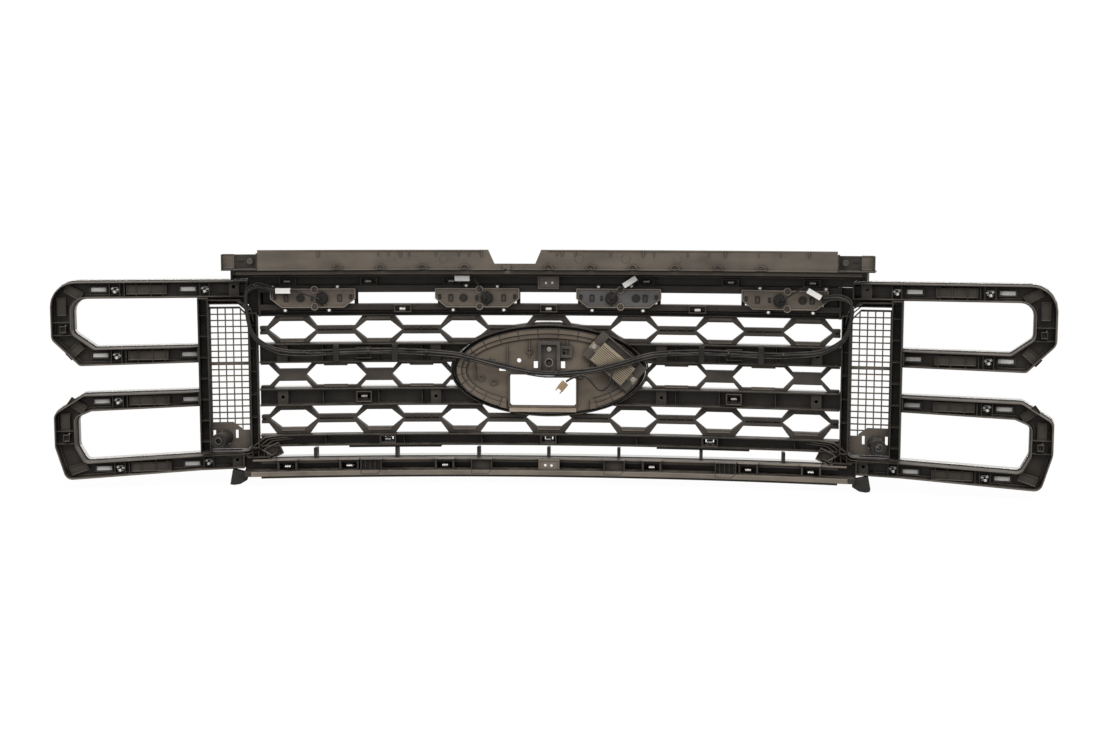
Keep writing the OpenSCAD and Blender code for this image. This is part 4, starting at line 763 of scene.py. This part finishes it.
def make_lamp_details():
    # Rims, beads and ears take the lighter lamp finish: painted highlight.
    rim = lamp_plate("lamp_rims", LAMP_W - 1, LAMP_H - 1, 21.5, 1.8)
    make_frame(rim, 2.0, 0.5)
    places = [lamp_place(i, 0, 0, 0) for i in range(4)]
    copy_to(rim, places, LAMP_EDGE_PAINTED_HIGHLIGHT)
    bead = lamp_plate("lamp_inner_beads", LAMP_W - 9, LAMP_H - 9, 19, 0.8)
    make_frame(bead, 0.8, 0.2, 1)
    copy_to(bead, places, LAMP_EDGE_PAINTED_HIGHLIGHT)
    # The ears' and screw heads' near-black middles paint shade in their recesses.
    ear = start_disc("lamp_screw_ears", 7.2, 2.4, 28, (0, -1.2, 0))
    sink_rear(ear, 2.0, 1.4, SOCKET_AND_PAINTED_SHADE)
    soften(ear, 0.4)
    spots = [(i, LAMP_SCREW_X[i], side * 16.0) for i in range(4) for side in (-1, 1)]
    copy_to(ear, [lamp_place(i, x, z, 0.1) for i, x, z in spots], LAMP_EDGE_PAINTED_HIGHLIGHT, SOCKET_AND_PAINTED_SHADE)
    head = start_disc("lamp_screw_heads", 3.4, 2.2, 6, (0, -1.1, 0))
    sink_rear(head, 1.1, 0.9, SOCKET_AND_PAINTED_SHADE)
    soften(head, 0.3)
    copy_to(head, [lamp_place(i, x, z, 2.2) for i, x, z in spots], SCREW_DARK, SOCKET_AND_PAINTED_SHADE)
    # Near-black frames paint the shade in the lamp's oval and small slots.
    slot_piece = start_block("lamp_oval_slots", (8.4, 1.2, 13.5), (0, -0.6, 0))
    make_frame(slot_piece, 1.5, 0.5)
    copy_to(slot_piece, [lamp_place(i, side * 50, 0, 0.1) for i in range(4) for side in (-1, 1)], SOCKET_AND_PAINTED_SHADE)
    small = start_block("lamp_small_slots", (5.4, 1.1, 9), (0, -0.55, 0))
    make_frame(small, 1.2, 0.4)
    places = [lamp_place(i, side * 71, 2, 0.1) for i in range(4) for side in (-1, 1)]
    copy_to(small, places, SOCKET_AND_PAINTED_SHADE)
    tab = start_block("lamp_pin_tabs", (11, 5, 9), (0, -2.5, 0))
    soften(tab, 1.0)
    spots = [(i, x, z) for i in range(4) for x, z in PIN_SPOTS[i]]
    copy_to(tab, [lamp_place(i, x, z, -9) for i, x, z in spots], SOCKET_AND_PAINTED_SHADE)
    pin = start_disc("lamp_pins", 2.9, 3.2, 18, (0, -1.6, 0))
    soften(pin, 1.2, 3)
    copy_to(pin, [lamp_place(i, x, z, -4.2) for i, x, z in spots], WHITE)
    ring = start_disc("socket_port_rings", 13.4, 1.6, 36, (0, -0.8, 0))
    make_frame(ring, 1.6, 0.4)
    copy_to(ring, [lamp_place(i, SOCKET_X[i], -0.5, 0.1) for i in range(4)], LAMP)
    mark = start_block("lamp_port_marks", (4.4, 1.2, 9.5), (0, -0.6, 0))
    make_frame(mark, 1.2, 0.3, 1)
    copy_to(mark, [lamp_place(i, SOCKET_X[i] - 19, 0, 0.1) for i in range(4)], SOCKET_AND_PAINTED_SHADE)


# --- mesh ---

HEX_PITCH = 162.5


def make_mesh_details():
    # The tabs take the lighter mesh finish: painted highlight on the struts' tops.
    tab = start_block("hexagon_tabs", (45, 1.6, 5.6), (0, -0.8, 0))
    sink_rear(tab, 0.9, 0.5, MESH_PAINTED_HIGHLIGHT)
    soften(tab, 0.25, 1)
    places = []
    for k in range(-3, 4):
        x = k * HEX_PITCH
        places += [arc_place(x, z, 13.9) for z in (101.2, 57.4, -69.2, -112.8) if outside_pocket(x, z)]
    for k in range(-4, 4):
        x = (k + 0.5) * HEX_PITCH
        places += [arc_place(x, z, 13.9) for z in (12.2, -28.8) if abs(x) < 540 and outside_pocket(x, z)]
    copy_to(tab, places, MESH_PAINTED_HIGHLIGHT, MESH_PAINTED_HIGHLIGHT)
    ejector = start_disc("mesh_ejector_marks", 2.6, 0.6, 20, (0, -0.3, 0))
    sink_rear(ejector, 0.6, 0.4, MESH)
    places = []
    for k in range(-3, 3):
        x = (k + 0.5) * HEX_PITCH
        for z in (79.5, -91):
            places += [arc_place(x + dx, z, 13.95) for dx in (-18, 0, 18) if outside_pocket(x, z)]
    copy_to(ejector, places, MESH, MESH)


def outside_pocket(x, z):
    """True where a piece of the mesh is clear of the collar round the oval."""
    return (x / 225) ** 2 + (z / 103) ** 2 > 1


# --- valance ---

def make_valance_details():
    # The lips, flanges and centre block take the lighter trim: painted light.
    long_strip("valance_top_lip", (-560, 560), (-171.5, -167.8), (30.3, 32), TRIM_PAINTED_LIT)
    long_strip("valance_low_lip", (-560, 560), (-198.6, -189.4), (45.3, 46.8), TRIM_PAINTED_LIT)
    flange = start_block("valance_pocket_flanges", (38, 12, 2.6), (0, -6, 0))
    cut_corner(flange, (0, -12, 0.2), (0, -0.55, 1))
    soften(flange, 0.4, 1)
    copy_to(flange, [arc_place(x, -167.6, 32.5) for x in VALANCE_CLIP_X], TRIM_PAINTED_LIT)
    block = start_block("valance_centre_block", (40, 6, 26), (0, -3, 0))
    sink_rear(block, 2.4, 1.6, TRIM_PAINTED_LIT)
    soften(block, 0.7)
    copy_to(block, [arc_place(2, -182, 37)], TRIM_PAINTED_LIT, TRIM_PAINTED_LIT)
    mark = start_disc("valance_centre_marks", 2.6, 1.4, 16)
    soften(mark, 0.4)
    copy_to(mark, [arc_place(-5, -180, 41.6), arc_place(7, -180.5, 41.6, 20)], WHITE)
    dash = start_block("bottom_centre_marks", (5, 1.2, 2.6))
    soften(dash, 0.4)
    copy_to(dash, [arc_place(-4, -182, 34)], WHITE)
    # Each gusset's sunk middle is near-black: painted shade in its recess.
    gusset = start_block("valance_gussets", (40, 14, 29), (0, -7, 0))
    cut_corner(gusset, (20, 0, -6), (0.7, 0, -0.7))
    sink_rear(gusset, 1.6, 9, SOCKET_AND_PAINTED_SHADE)
    soften(gusset, 0.5)
    copy_to(gusset, [arc_place(x, -182, 33) for x in (-338, 338, -127, 127)], TRIM, SOCKET_AND_PAINTED_SHADE)


# --- badge pocket ---

POCKET_FLOOR = 27.0  # rear of the pocket's floor
BOSS_SPOTS = ((-110, 18), (-128, -14), (62, -8), (82, 12), (-36, 38), (120, -22), (-104, -22))
RIB_SPOTS = ((-78, 30), (-36, 42), (36, 42), (-140, 0), (150, 0))


def make_pocket_details():
    # The lip takes the lighter pocket finish: painted light.
    lip = start_block("window_lip", (128, 3, 9.5), (0, -1.5, 0))
    cut_corner(lip, (0, 0, 4.75), (0, 0.9, 0.45))
    soften(lip, 0.7)
    copy_to(lip, [flat_place(-10.5, -74.5, POCKET_FLOOR + 0.1)], POCKET_PAINTED_LIT)
    edge = start_block("window_edges", (131, 5, 64), (0, -2.5, 0))
    make_frame(edge, 1.9, 0.5)
    copy_to(edge, [flat_place(-10.7, -37.2, POCKET_FLOOR + 0.1)], POCKET)
    # Each boss's sunk bore is near-black: painted shade in it.
    boss = start_disc("pocket_bosses", 5.6, 4, 24, (0, -2, 0))
    sink_rear(boss, 1.6, 2.5, SOCKET_AND_PAINTED_SHADE)
    soften(boss, 0.5)
    copy_to(boss, [flat_place(x, z, POCKET_FLOOR) for x, z in BOSS_SPOTS], POCKET, SOCKET_AND_PAINTED_SHADE)
    fin = start_block("pocket_ribs", (1.6, 4, 34), (0, -2, 0))
    soften(fin, 0.4, 1)
    copy_to(fin, [flat_place(x, z, POCKET_FLOOR) for x, z in RIB_SPOTS], POCKET)
    head = start_disc("camera_keyhole_ring", 8.5, 1.6, 32, (0, -0.8, 0))
    make_frame(head, 2.2, 0.4)
    copy_to(head, [flat_place(2, 17, 40.1)], POCKET)


# --- loom ---

LOOM_TIES = [
    ((-460, -73, 36), 90), ((-340, -57, 37.4), 90), ((-230, -48, 36), 90), ((-150, -46, 26), 75),
    ((230, -49.4, 36.2), 90), ((340, -57, 37.4), 90), ((440, -70, 37), 90), ((16, -47.5, -3), 90),
    ((-35, -46, -1), 80), ((110, -54.6, 10), 115),
]
LEAD_TIES = [((66, -62, -4.2), 90)]


def tie_places(ties):
    return [Matrix.Translation(Vector(spot) * MM) @ Matrix.Rotation(math.radians(turn), 4, "Z")
            for spot, turn in ties]


def make_loom_ties():
    band = start_disc("loom_ties", 5.2, 4.0, 18)
    make_frame(band, 1.0, 0.3, 1)
    copy_to(band, tie_places(LOOM_TIES), SOCKET_AND_PAINTED_SHADE)
    tie = start_disc("plug_lead_tie", 3.4, 3.2, 16)
    make_frame(tie, 1.1, 0.3, 1)
    copy_to(tie, tie_places(LEAD_TIES), SOCKET_AND_PAINTED_SHADE)


# --- ridges that follow a path ---

ARC_STEPS = 8


def turn_between(first, second):
    """Angle from one flat direction to the next, positive to the left."""
    return math.atan2(first.x * second.y - first.y * second.x, first.dot(second))


def rounded_path(corners):
    """Points of a path through (x, z, radius) corners, each corner an arc of its radius."""
    points = []
    for k, (x, z, radius) in enumerate(corners):
        here = Vector((x, z))
        if k in (0, len(corners) - 1) or radius == 0:
            points.append(here)
            continue
        before = here - Vector(corners[k - 1][:2])
        after = Vector(corners[k + 1][:2]) - here
        half = abs(turn_between(before, after)) / 2
        reach = min(radius * math.tan(half), before.length / 2, after.length / 2)
        start = here - before.normalized() * reach
        stop = here + after.normalized() * reach
        for step in range(ARC_STEPS + 1):
            t = step / ARC_STEPS
            weight = 2 * t * (1 - t) * math.cos(half)
            total = (1 - t) ** 2 + weight + t * t
            points.append((start * (1 - t) ** 2 + here * weight + stop * t * t) / total)
    return points


def moved_in(corners, distance):
    """The same corners moved to the left of the path's direction."""
    moved = []
    for k, (x, z, radius) in enumerate(corners):
        here = Vector((x, z))
        before = here - Vector(corners[k - 1][:2]) if k > 0 else None
        after = Vector(corners[k + 1][:2]) - here if k < len(corners) - 1 else None
        first = (before or after).normalized()
        second = (after or before).normalized()
        left = Vector((-first.y, first.x))
        other = Vector((-second.y, second.x))
        spot = here + (left + other) * distance / (1 + left.dot(other))
        inward = math.copysign(distance, turn_between(first, second))
        moved.append((spot.x, spot.y, max(0, radius - inward) if radius else 0))
    return moved


def on_side(side, points):
    """The points of a path, mirrored for the left side."""
    return [(side * p.x, p.y) for p in points]


def ridge_run(name, points, radius, place, finish):
    """A round ridge that follows (x, z) or (x, y, z) points, made a mesh in place."""
    put_tools_down()
    curve = bpy.data.curves.new(name, "CURVE")
    curve.dimensions = "3D"
    curve.bevel_depth = radius * MM
    curve.bevel_resolution = 2
    curve.use_fill_caps = True
    spline = curve.splines.new("POLY")
    spline.points.add(len(points) - 1)
    for item, point in zip(spline.points, points):
        spot = Vector((point[0], 0, point[1])) if len(point) == 2 else Vector(point)
        item.co = (*(spot * MM), 1.0)
    ridge = bpy.data.objects.new(name, curve)
    bpy.context.scene.collection.objects.link(ridge)
    ridge.matrix_world = place
    ridge.select_set(True)
    bpy.context.view_layer.objects.active = ridge
    bpy.ops.object.convert(target="MESH")
    bpy.ops.object.transform_apply(location=True, rotation=True, scale=True)
    ridge = bpy.context.object
    tidy_normals(ridge)
    ridge.data.shade_smooth()
    claim(ridge, finish)


# --- lamp surrounds ---

UPPER_OUTER = [(112.5, 19.5, 0), (331, 15.5, 9), (381, 65.5, 16), (381, 172.5, 46), (20, 172.5, 0)]
UPPER_INNER = [(20, 142, 0), (343.5, 142, 26), (343.5, 76.5, 14), (303.5, 47.5, 10), (112.5, 49.5, 0)]
LOWER_OUTER = [(31.8, -184.5, 0), (112.5, -186.5, 0), (362, -200, 16), (381, -136.5, 22), (381, -74, 16),
               (326, -39.5, 12), (112.5, -36, 0)]
LOWER_INNER = [(112.5, -63.5, 0), (313.5, -70, 12), (342.5, -82, 14), (342.5, -136.5, 20),
               (326.5, -167.5, 12), (112.5, -158, 0), (31.8, -156.5, 0)]
SURROUND_OUTLINES = (
    ("upper_outer", UPPER_OUTER), ("upper_inner", UPPER_INNER),
    ("lower_outer", LOWER_OUTER), ("lower_inner", LOWER_INNER),
)
SURROUND_JOIN = 112
BAR_RUN_Z = (33.5, -52)  # runs that end at the join, where the bars go on
RUN_SPOTS = ((264, (157.2, 33.5, -52, -180.8)), (99, (157.2, 33.5, -52, -171.5)))
SLOT_SPOTS = ((295, (157.2, 33.5, -54, -182)), (131, (157.2, 33.5, -52, -176.2)))
PANEL_SPOTS = ((206, (157.2, 33.5, -52, -178.8)),)
TIP_TURNS = ((43, -48), (153, 60), (-60, 55), (-180, -72))


def spots_along(runs):
    """Side, distance and height of each spot on the runs of both pairs of surrounds."""
    return [(side, u, z) for side in (-1, 1) for u, heights in runs for z in heights
            if u > SURROUND_JOIN or z not in BAR_RUN_Z]


def make_surround_details():
    # The lip ridges take the lighter edge finish: painted highlight along the edges.
    for side, word in ((-1, "left"), (1, "right")):
        place = end_place(side, 0, 0, 27.8)
        low_place = end_place(side, 0, 0, 12)
        for label, corners in SURROUND_OUTLINES:
            edge = on_side(side, rounded_path(moved_in(corners, 1.3)))
            ridge_run(f"surround_lip_{label}_{word}", edge, 1.15, place, EDGE_TRIM_PAINTED_HIGHLIGHT)
            step = on_side(side, rounded_path(moved_in(corners, 5.6)))
            ridge_run(f"surround_step_{label}_{word}", step, 0.9, low_place, TRIM)
    spots = spots_along(SLOT_SPOTS)
    # Near-white plates in the slots: painted light of the backdrop seen through them.
    plate = start_block("surround_slot_plates", (29, 1.6, 8.4), (0, -0.8, 0))
    soften(plate, 0.75, 2)
    copy_to(plate, [end_place(side, u, z, 7) for side, u, z in spots], PAINTED_LIGHT_WHITE)
    rim = start_block("surround_slot_rims", (34, 6, 13), (0, -3, 0))
    make_frame(rim, 1.8, 0.6)
    copy_to(rim, [end_place(side, u, z, 5.4) for side, u, z in spots], TRIM)
    # Near-white strips at the runs: painted glints of spring clips.
    bent = folded_strip("surround_springs", 5, SPRING_PATH, 0.9)
    places = []
    for side, u, z in spots_along(RUN_SPOTS):
        places += [end_place(side, u - 5, z, 12, 20), end_place(side, u + 5, z + 2, 13, -35),
                   end_place(side, u + 1, z - 4, 15, 80)]
    copy_to(bent, places, PAINTED_LIGHT_WHITE)
    panel = start_block("surround_panels", (74, 3.4, 18), (0, -1.7, 0))
    sink_rear(panel, 1.3, 2.2, PANEL)
    soften(panel, 0.5)
    places = [end_place(side, u, z, 17.4) for side, u, z in spots_along(PANEL_SPOTS)]
    copy_to(panel, places, TRIM, PANEL)
    tip = start_block("surround_tip_panels", (17, 3.2, 34), (0, -1.6, 0))
    sink_rear(tip, 1.2, 2.0, PANEL)
    soften(tip, 0.5)
    places = [end_place(side, 362, z, 14) for side in (-1, 1) for z in (126, -92)]
    places += [end_place(side, 340, z, 14, side * turn) for side in (-1, 1) for z, turn in TIP_TURNS]
    copy_to(tip, places, TRIM, PANEL)
    # Each hook's sunk middle is near-black: painted shade in its recess.
    hook = start_block("surround_tip_hooks", (12, 9, 13), (0, -4.5, 0))
    sink_rear(hook, 1.6, 6, SOCKET_AND_PAINTED_SHADE)
    soften(hook, 0.6)
    places = [end_place(side, 360, z, 15) for side in (-1, 1) for z in (83.5, -121)]
    copy_to(hook, places, TRIM, SOCKET_AND_PAINTED_SHADE)


# --- corners ---

CORNER_LIPS = (
    ((108, -152, 0), (24, -150.5, 10), (-8, -125, 12), (-40, -121.5, 0)),
    ((108, -157, 0), (22, -156.5, 10), (-14, -129, 12), (-52, -125.5, 0)),
    ((66, -160.5, 0), (20, -161.5, 10), (-22, -133, 12), (-60, -129, 0)),
)
CORNER_BRACE = ((-2, -149, 0), (-30, -166, 0))
GRID_LIP = ((104, 136.5, 0), (40, 136.5, 8), (14, 121, 10), (9, 96, 0))


def make_corner_details():
    # The lip, brace and grid-lip ridges take the lighter edge finish: painted highlight along the edges.
    for side, word in ((-1, "left"), (1, "right")):
        for k, corners in enumerate(CORNER_LIPS):
            path = on_side(side, rounded_path(corners))
            ridge_run(f"corner_lip_{k + 1}_{word}", path, 1.1, end_place(side, 0, 0, 32 - 4 * k), EDGE_TRIM_PAINTED_HIGHLIGHT)
        path = on_side(side, rounded_path(CORNER_BRACE))
        ridge_run(f"corner_brace_{word}", path, 1.3, end_place(side, 0, 0, 30), EDGE_TRIM_PAINTED_HIGHLIGHT)
        path = on_side(side, rounded_path(GRID_LIP))
        ridge_run(f"grid_lip_{word}", path, 1.2, end_place(side, 0, 0, 36), EDGE_TRIM_PAINTED_HIGHLIGHT)
    # Each bracket's sunk middle is near-black: painted shade in its recess.
    box = start_block("corner_brackets", (30, 12, 24), (0, -6, 0))
    sink_rear(box, 1.8, 8, SOCKET_AND_PAINTED_SHADE)
    soften(box, 0.8)
    places = [end_place(side, -24, -152, 20, side * 24) for side in (-1, 1)]
    copy_to(box, places, TRIM, SOCKET_AND_PAINTED_SHADE)


# --- lines of painted shade in the pocket, and the loom ---

OVAL_W = 352
OVAL_H = 162
BAND_LINES = 28
RING_STEPS = 100


def make_pocket_lines():
    # Near-black grooves and rings: painted shade in the band grooves, at the band steps and along the edge.
    groove = start_block("pocket_band_lines", (6.4, 0.7, 1.3), (0, -0.35, 0))
    soften(groove, 0.15, 1)
    places = []
    for k in range(BAND_LINES):
        t = math.tau * (k + 0.5) / BAND_LINES
        x, z = OVAL_W / 2 * math.cos(t), OVAL_H / 2 * math.sin(t)
        if abs(x) < 88 and z < 0 or x > 60 and z > 0:
            continue
        slope = math.atan2(OVAL_W * math.sin(t), OVAL_H * math.cos(t))
        turn = Matrix.Rotation(-slope, 4, "Y")
        for back, behind in ((4.4, 33.7), (13.4, 30.7)):
            spot = Vector((x - back * math.cos(slope), -behind, z - back * math.sin(slope)))
            places.append(Matrix.Translation(spot * MM) @ turn)
    copy_to(groove, places, SOCKET_AND_PAINTED_SHADE)
    for label, inside, behind in (("outer", 9.4, 31.2), ("inner", 18.5, 27.2), ("edge", 0.6, 33.8)):
        path = []
        for k in range(RING_STEPS + 1):
            t = math.radians(-57 + 294 * k / RING_STEPS)
            path.append(((OVAL_W / 2 - inside) * math.cos(t), (OVAL_H / 2 - inside) * math.sin(t)))
        place = Matrix.Translation((0, -behind * MM, 0))
        ridge_run(f"pocket_ring_{label}", path, 0.8, place, SOCKET_AND_PAINTED_SHADE)


TRUNK_ROUTE = [
    (-509, -96, 155), (-540, -98, 164), (-562, -101, 150), (-560, -101, 104), (-548, -98, 66),
    (-512, -86, 42), (-460, -73, 36), (-400, -64, 36), (-290, -50, 38), (-180, -46, 33), (-120, -46, 18), (-60, -46, 4),
    (-10, -46, -3), (40, -49, -2), (90, -54, 4), (140, -55, 18), (200, -49, 34), (290, -50, 38),
    (400, -64, 36), (460, -73, 38), (512, -86, 44), (548, -98, 68), (560, -101, 104), (560, -101, 134),
    (540, -98, 146), (509, -96, 145),
]


def blended(points, steps):
    """A smooth run through the points, as the loom's own shape follows them."""
    run = []
    for k in range(len(points) - 1):
        a, b = Vector(points[max(k - 1, 0)]), Vector(points[k])
        c, d = Vector(points[k + 1]), Vector(points[min(k + 2, len(points) - 1)])
        for j in range(steps):
            t = j / steps
            run.append(0.5 * (2 * b + (c - a) * t + (2 * a - 5 * b + 4 * c - d) * t * t
                              + (3 * b - a - 3 * c + d) * t ** 3))
    run.append(Vector(points[-1]))
    return run


def make_side_leads():
    """Two thinner leads that are taped beside the loom for its whole length."""
    smooth = blended(TRUNK_ROUTE, 6)
    for label, lift, radius, wave in (("upper", 4.6, 2.0, 0.9), ("lower", -4.4, 1.6, 1.3)):
        path = [(p.x, p.y - 2.2, p.z + lift + wave * math.sin(k / 3.1)) for k, p in enumerate(smooth)]
        ridge_run(f"loom_lead_{label}", path, radius, Matrix.Identity(4), SLEEVE)


def make_module_lines():
    # Near-black lines: painted shade between the module's ribs.
    line = start_block("module_rib_lines", (75, 0.8, 1.0), (0, -0.4, 0))
    soften(line, 0.2, 1)
    base = Matrix.Translation(Vector((123, 0, 15.5)) * MM) @ Matrix.Rotation(math.radians(40.5), 4, "Y")
    places = [base @ Matrix.Translation(Vector((0, -46.7, -17.2 + k * 6.8)) * MM) for k in range(6)]
    copy_to(line, places, SOCKET_AND_PAINTED_SHADE)


# --- studio ---

FLOOR_TONE = (0.30, 0.295, 0.285)
FLOOR_GLOW = 1.08


def make_floor():
    bpy.ops.object.select_all(action="DESELECT")
    bpy.ops.mesh.primitive_plane_add(size=60, location=(0, 0, cad_low.z - 0.002))
    floor = bpy.context.object
    floor.name = "studio_floor"
    material = bpy.data.materials.new("floor_paper")
    material.use_nodes = True
    tree = material.node_tree
    shader = tree.nodes["Principled BSDF"]
    shader.inputs["Base Color"].default_value = (*FLOOR_TONE, 1.0)
    shader.inputs["Roughness"].default_value = 0.9
    glow = add_node(tree, "ShaderNodeEmission")
    glow.inputs["Color"].default_value = (1.0, 1.0, 1.0, 1.0)
    glow.inputs["Strength"].default_value = FLOOR_GLOW
    rays = add_node(tree, "ShaderNodeLightPath")
    blend = add_node(tree, "ShaderNodeMixShader")
    tree.links.new(add_math(tree, "MULTIPLY", rays.outputs["Is Camera Ray"], 0.9), blend.inputs["Fac"])
    tree.links.new(shader.outputs["BSDF"], blend.inputs[1])
    tree.links.new(glow.outputs["Emission"], blend.inputs[2])
    tree.links.new(blend.outputs["Shader"], tree.nodes["Material Output"].inputs["Surface"])
    dress(floor, material)


def add_light(name, place, aim, size, power):
    data = bpy.data.lights.new(name, "AREA")
    data.shape = "RECTANGLE"
    data.size, data.size_y = size
    data.energy = power
    light = bpy.data.objects.new(name, data)
    bpy.context.scene.collection.objects.link(light)
    light.location = place
    light.rotation_euler = (Vector(aim) - Vector(place)).to_track_quat("-Z", "Y").to_euler()


def add_sun(name, towards, angle, strength):
    data = bpy.data.lights.new(name, "SUN")
    data.energy = strength
    data.angle = math.radians(angle)
    data.color = (1.0, 0.975, 0.94)
    sun = bpy.data.objects.new(name, data)
    bpy.context.scene.collection.objects.link(sun)
    sun.rotation_euler = Vector(towards).to_track_quat("-Z", "Y").to_euler()


WORLD_FILL = 0.30  # how much of the white room lights the object
WORLD_GLOSS = 0.75  # how bright the room looks in reflections
WORLD_SEEN = 1.05  # how bright the backdrop itself looks
SOFTBOX_POWER = 34


def make_studio():
    world = bpy.data.worlds.new("studio")
    world.use_nodes = True
    tree = world.node_tree
    backdrop = tree.nodes["Background"]
    backdrop.inputs["Color"].default_value = (1.0, 0.99, 0.975, 1.0)
    rays = add_node(tree, "ShaderNodeLightPath")
    gloss = add_math(tree, "MULTIPLY", rays.outputs["Is Glossy Ray"], WORLD_GLOSS - WORLD_FILL)
    seen = add_math(tree, "MULTIPLY", rays.outputs["Is Camera Ray"], WORLD_SEEN - WORLD_FILL)
    clear = add_math(tree, "MULTIPLY", rays.outputs["Is Transmission Ray"], WORLD_SEEN - WORLD_FILL)
    extra = add_math(tree, "MAXIMUM", add_math(tree, "MAXIMUM", gloss, seen), clear)
    tree.links.new(add_math(tree, "ADD", extra, WORLD_FILL), backdrop.inputs["Strength"])
    bpy.context.scene.world = world
    add_sun("high_sun", (-0.15, 0.75, -1.0), 50, 2.2)
    add_light("left_softbox", (-2.6, -2.2, 1.2), (0, 0, 0), (1.6, 2.0), SOFTBOX_POWER)
    add_light("right_softbox", (2.8, -2.0, 1.4), (0, 0, 0), (1.6, 2.0), SOFTBOX_POWER)
    scene = bpy.context.scene
    scene.view_settings.view_transform = "Standard"
    scene.view_settings.look = "None"


make_camera()
plug_lead = make_plug_lead()
for name, node in nodes.items():
    dress(node, finish_for(name))
dress(plug_lead, SLEEVE)
make_bar_pockets()
make_spring_strips()
make_header_trim()
make_deflector_details()
make_lamp_details()
make_mesh_details()
make_valance_details()
make_pocket_details()
make_loom_ties()
make_surround_details()
make_corner_details()
make_pocket_lines()
make_side_leads()
make_module_lines()
make_floor()
make_studio()
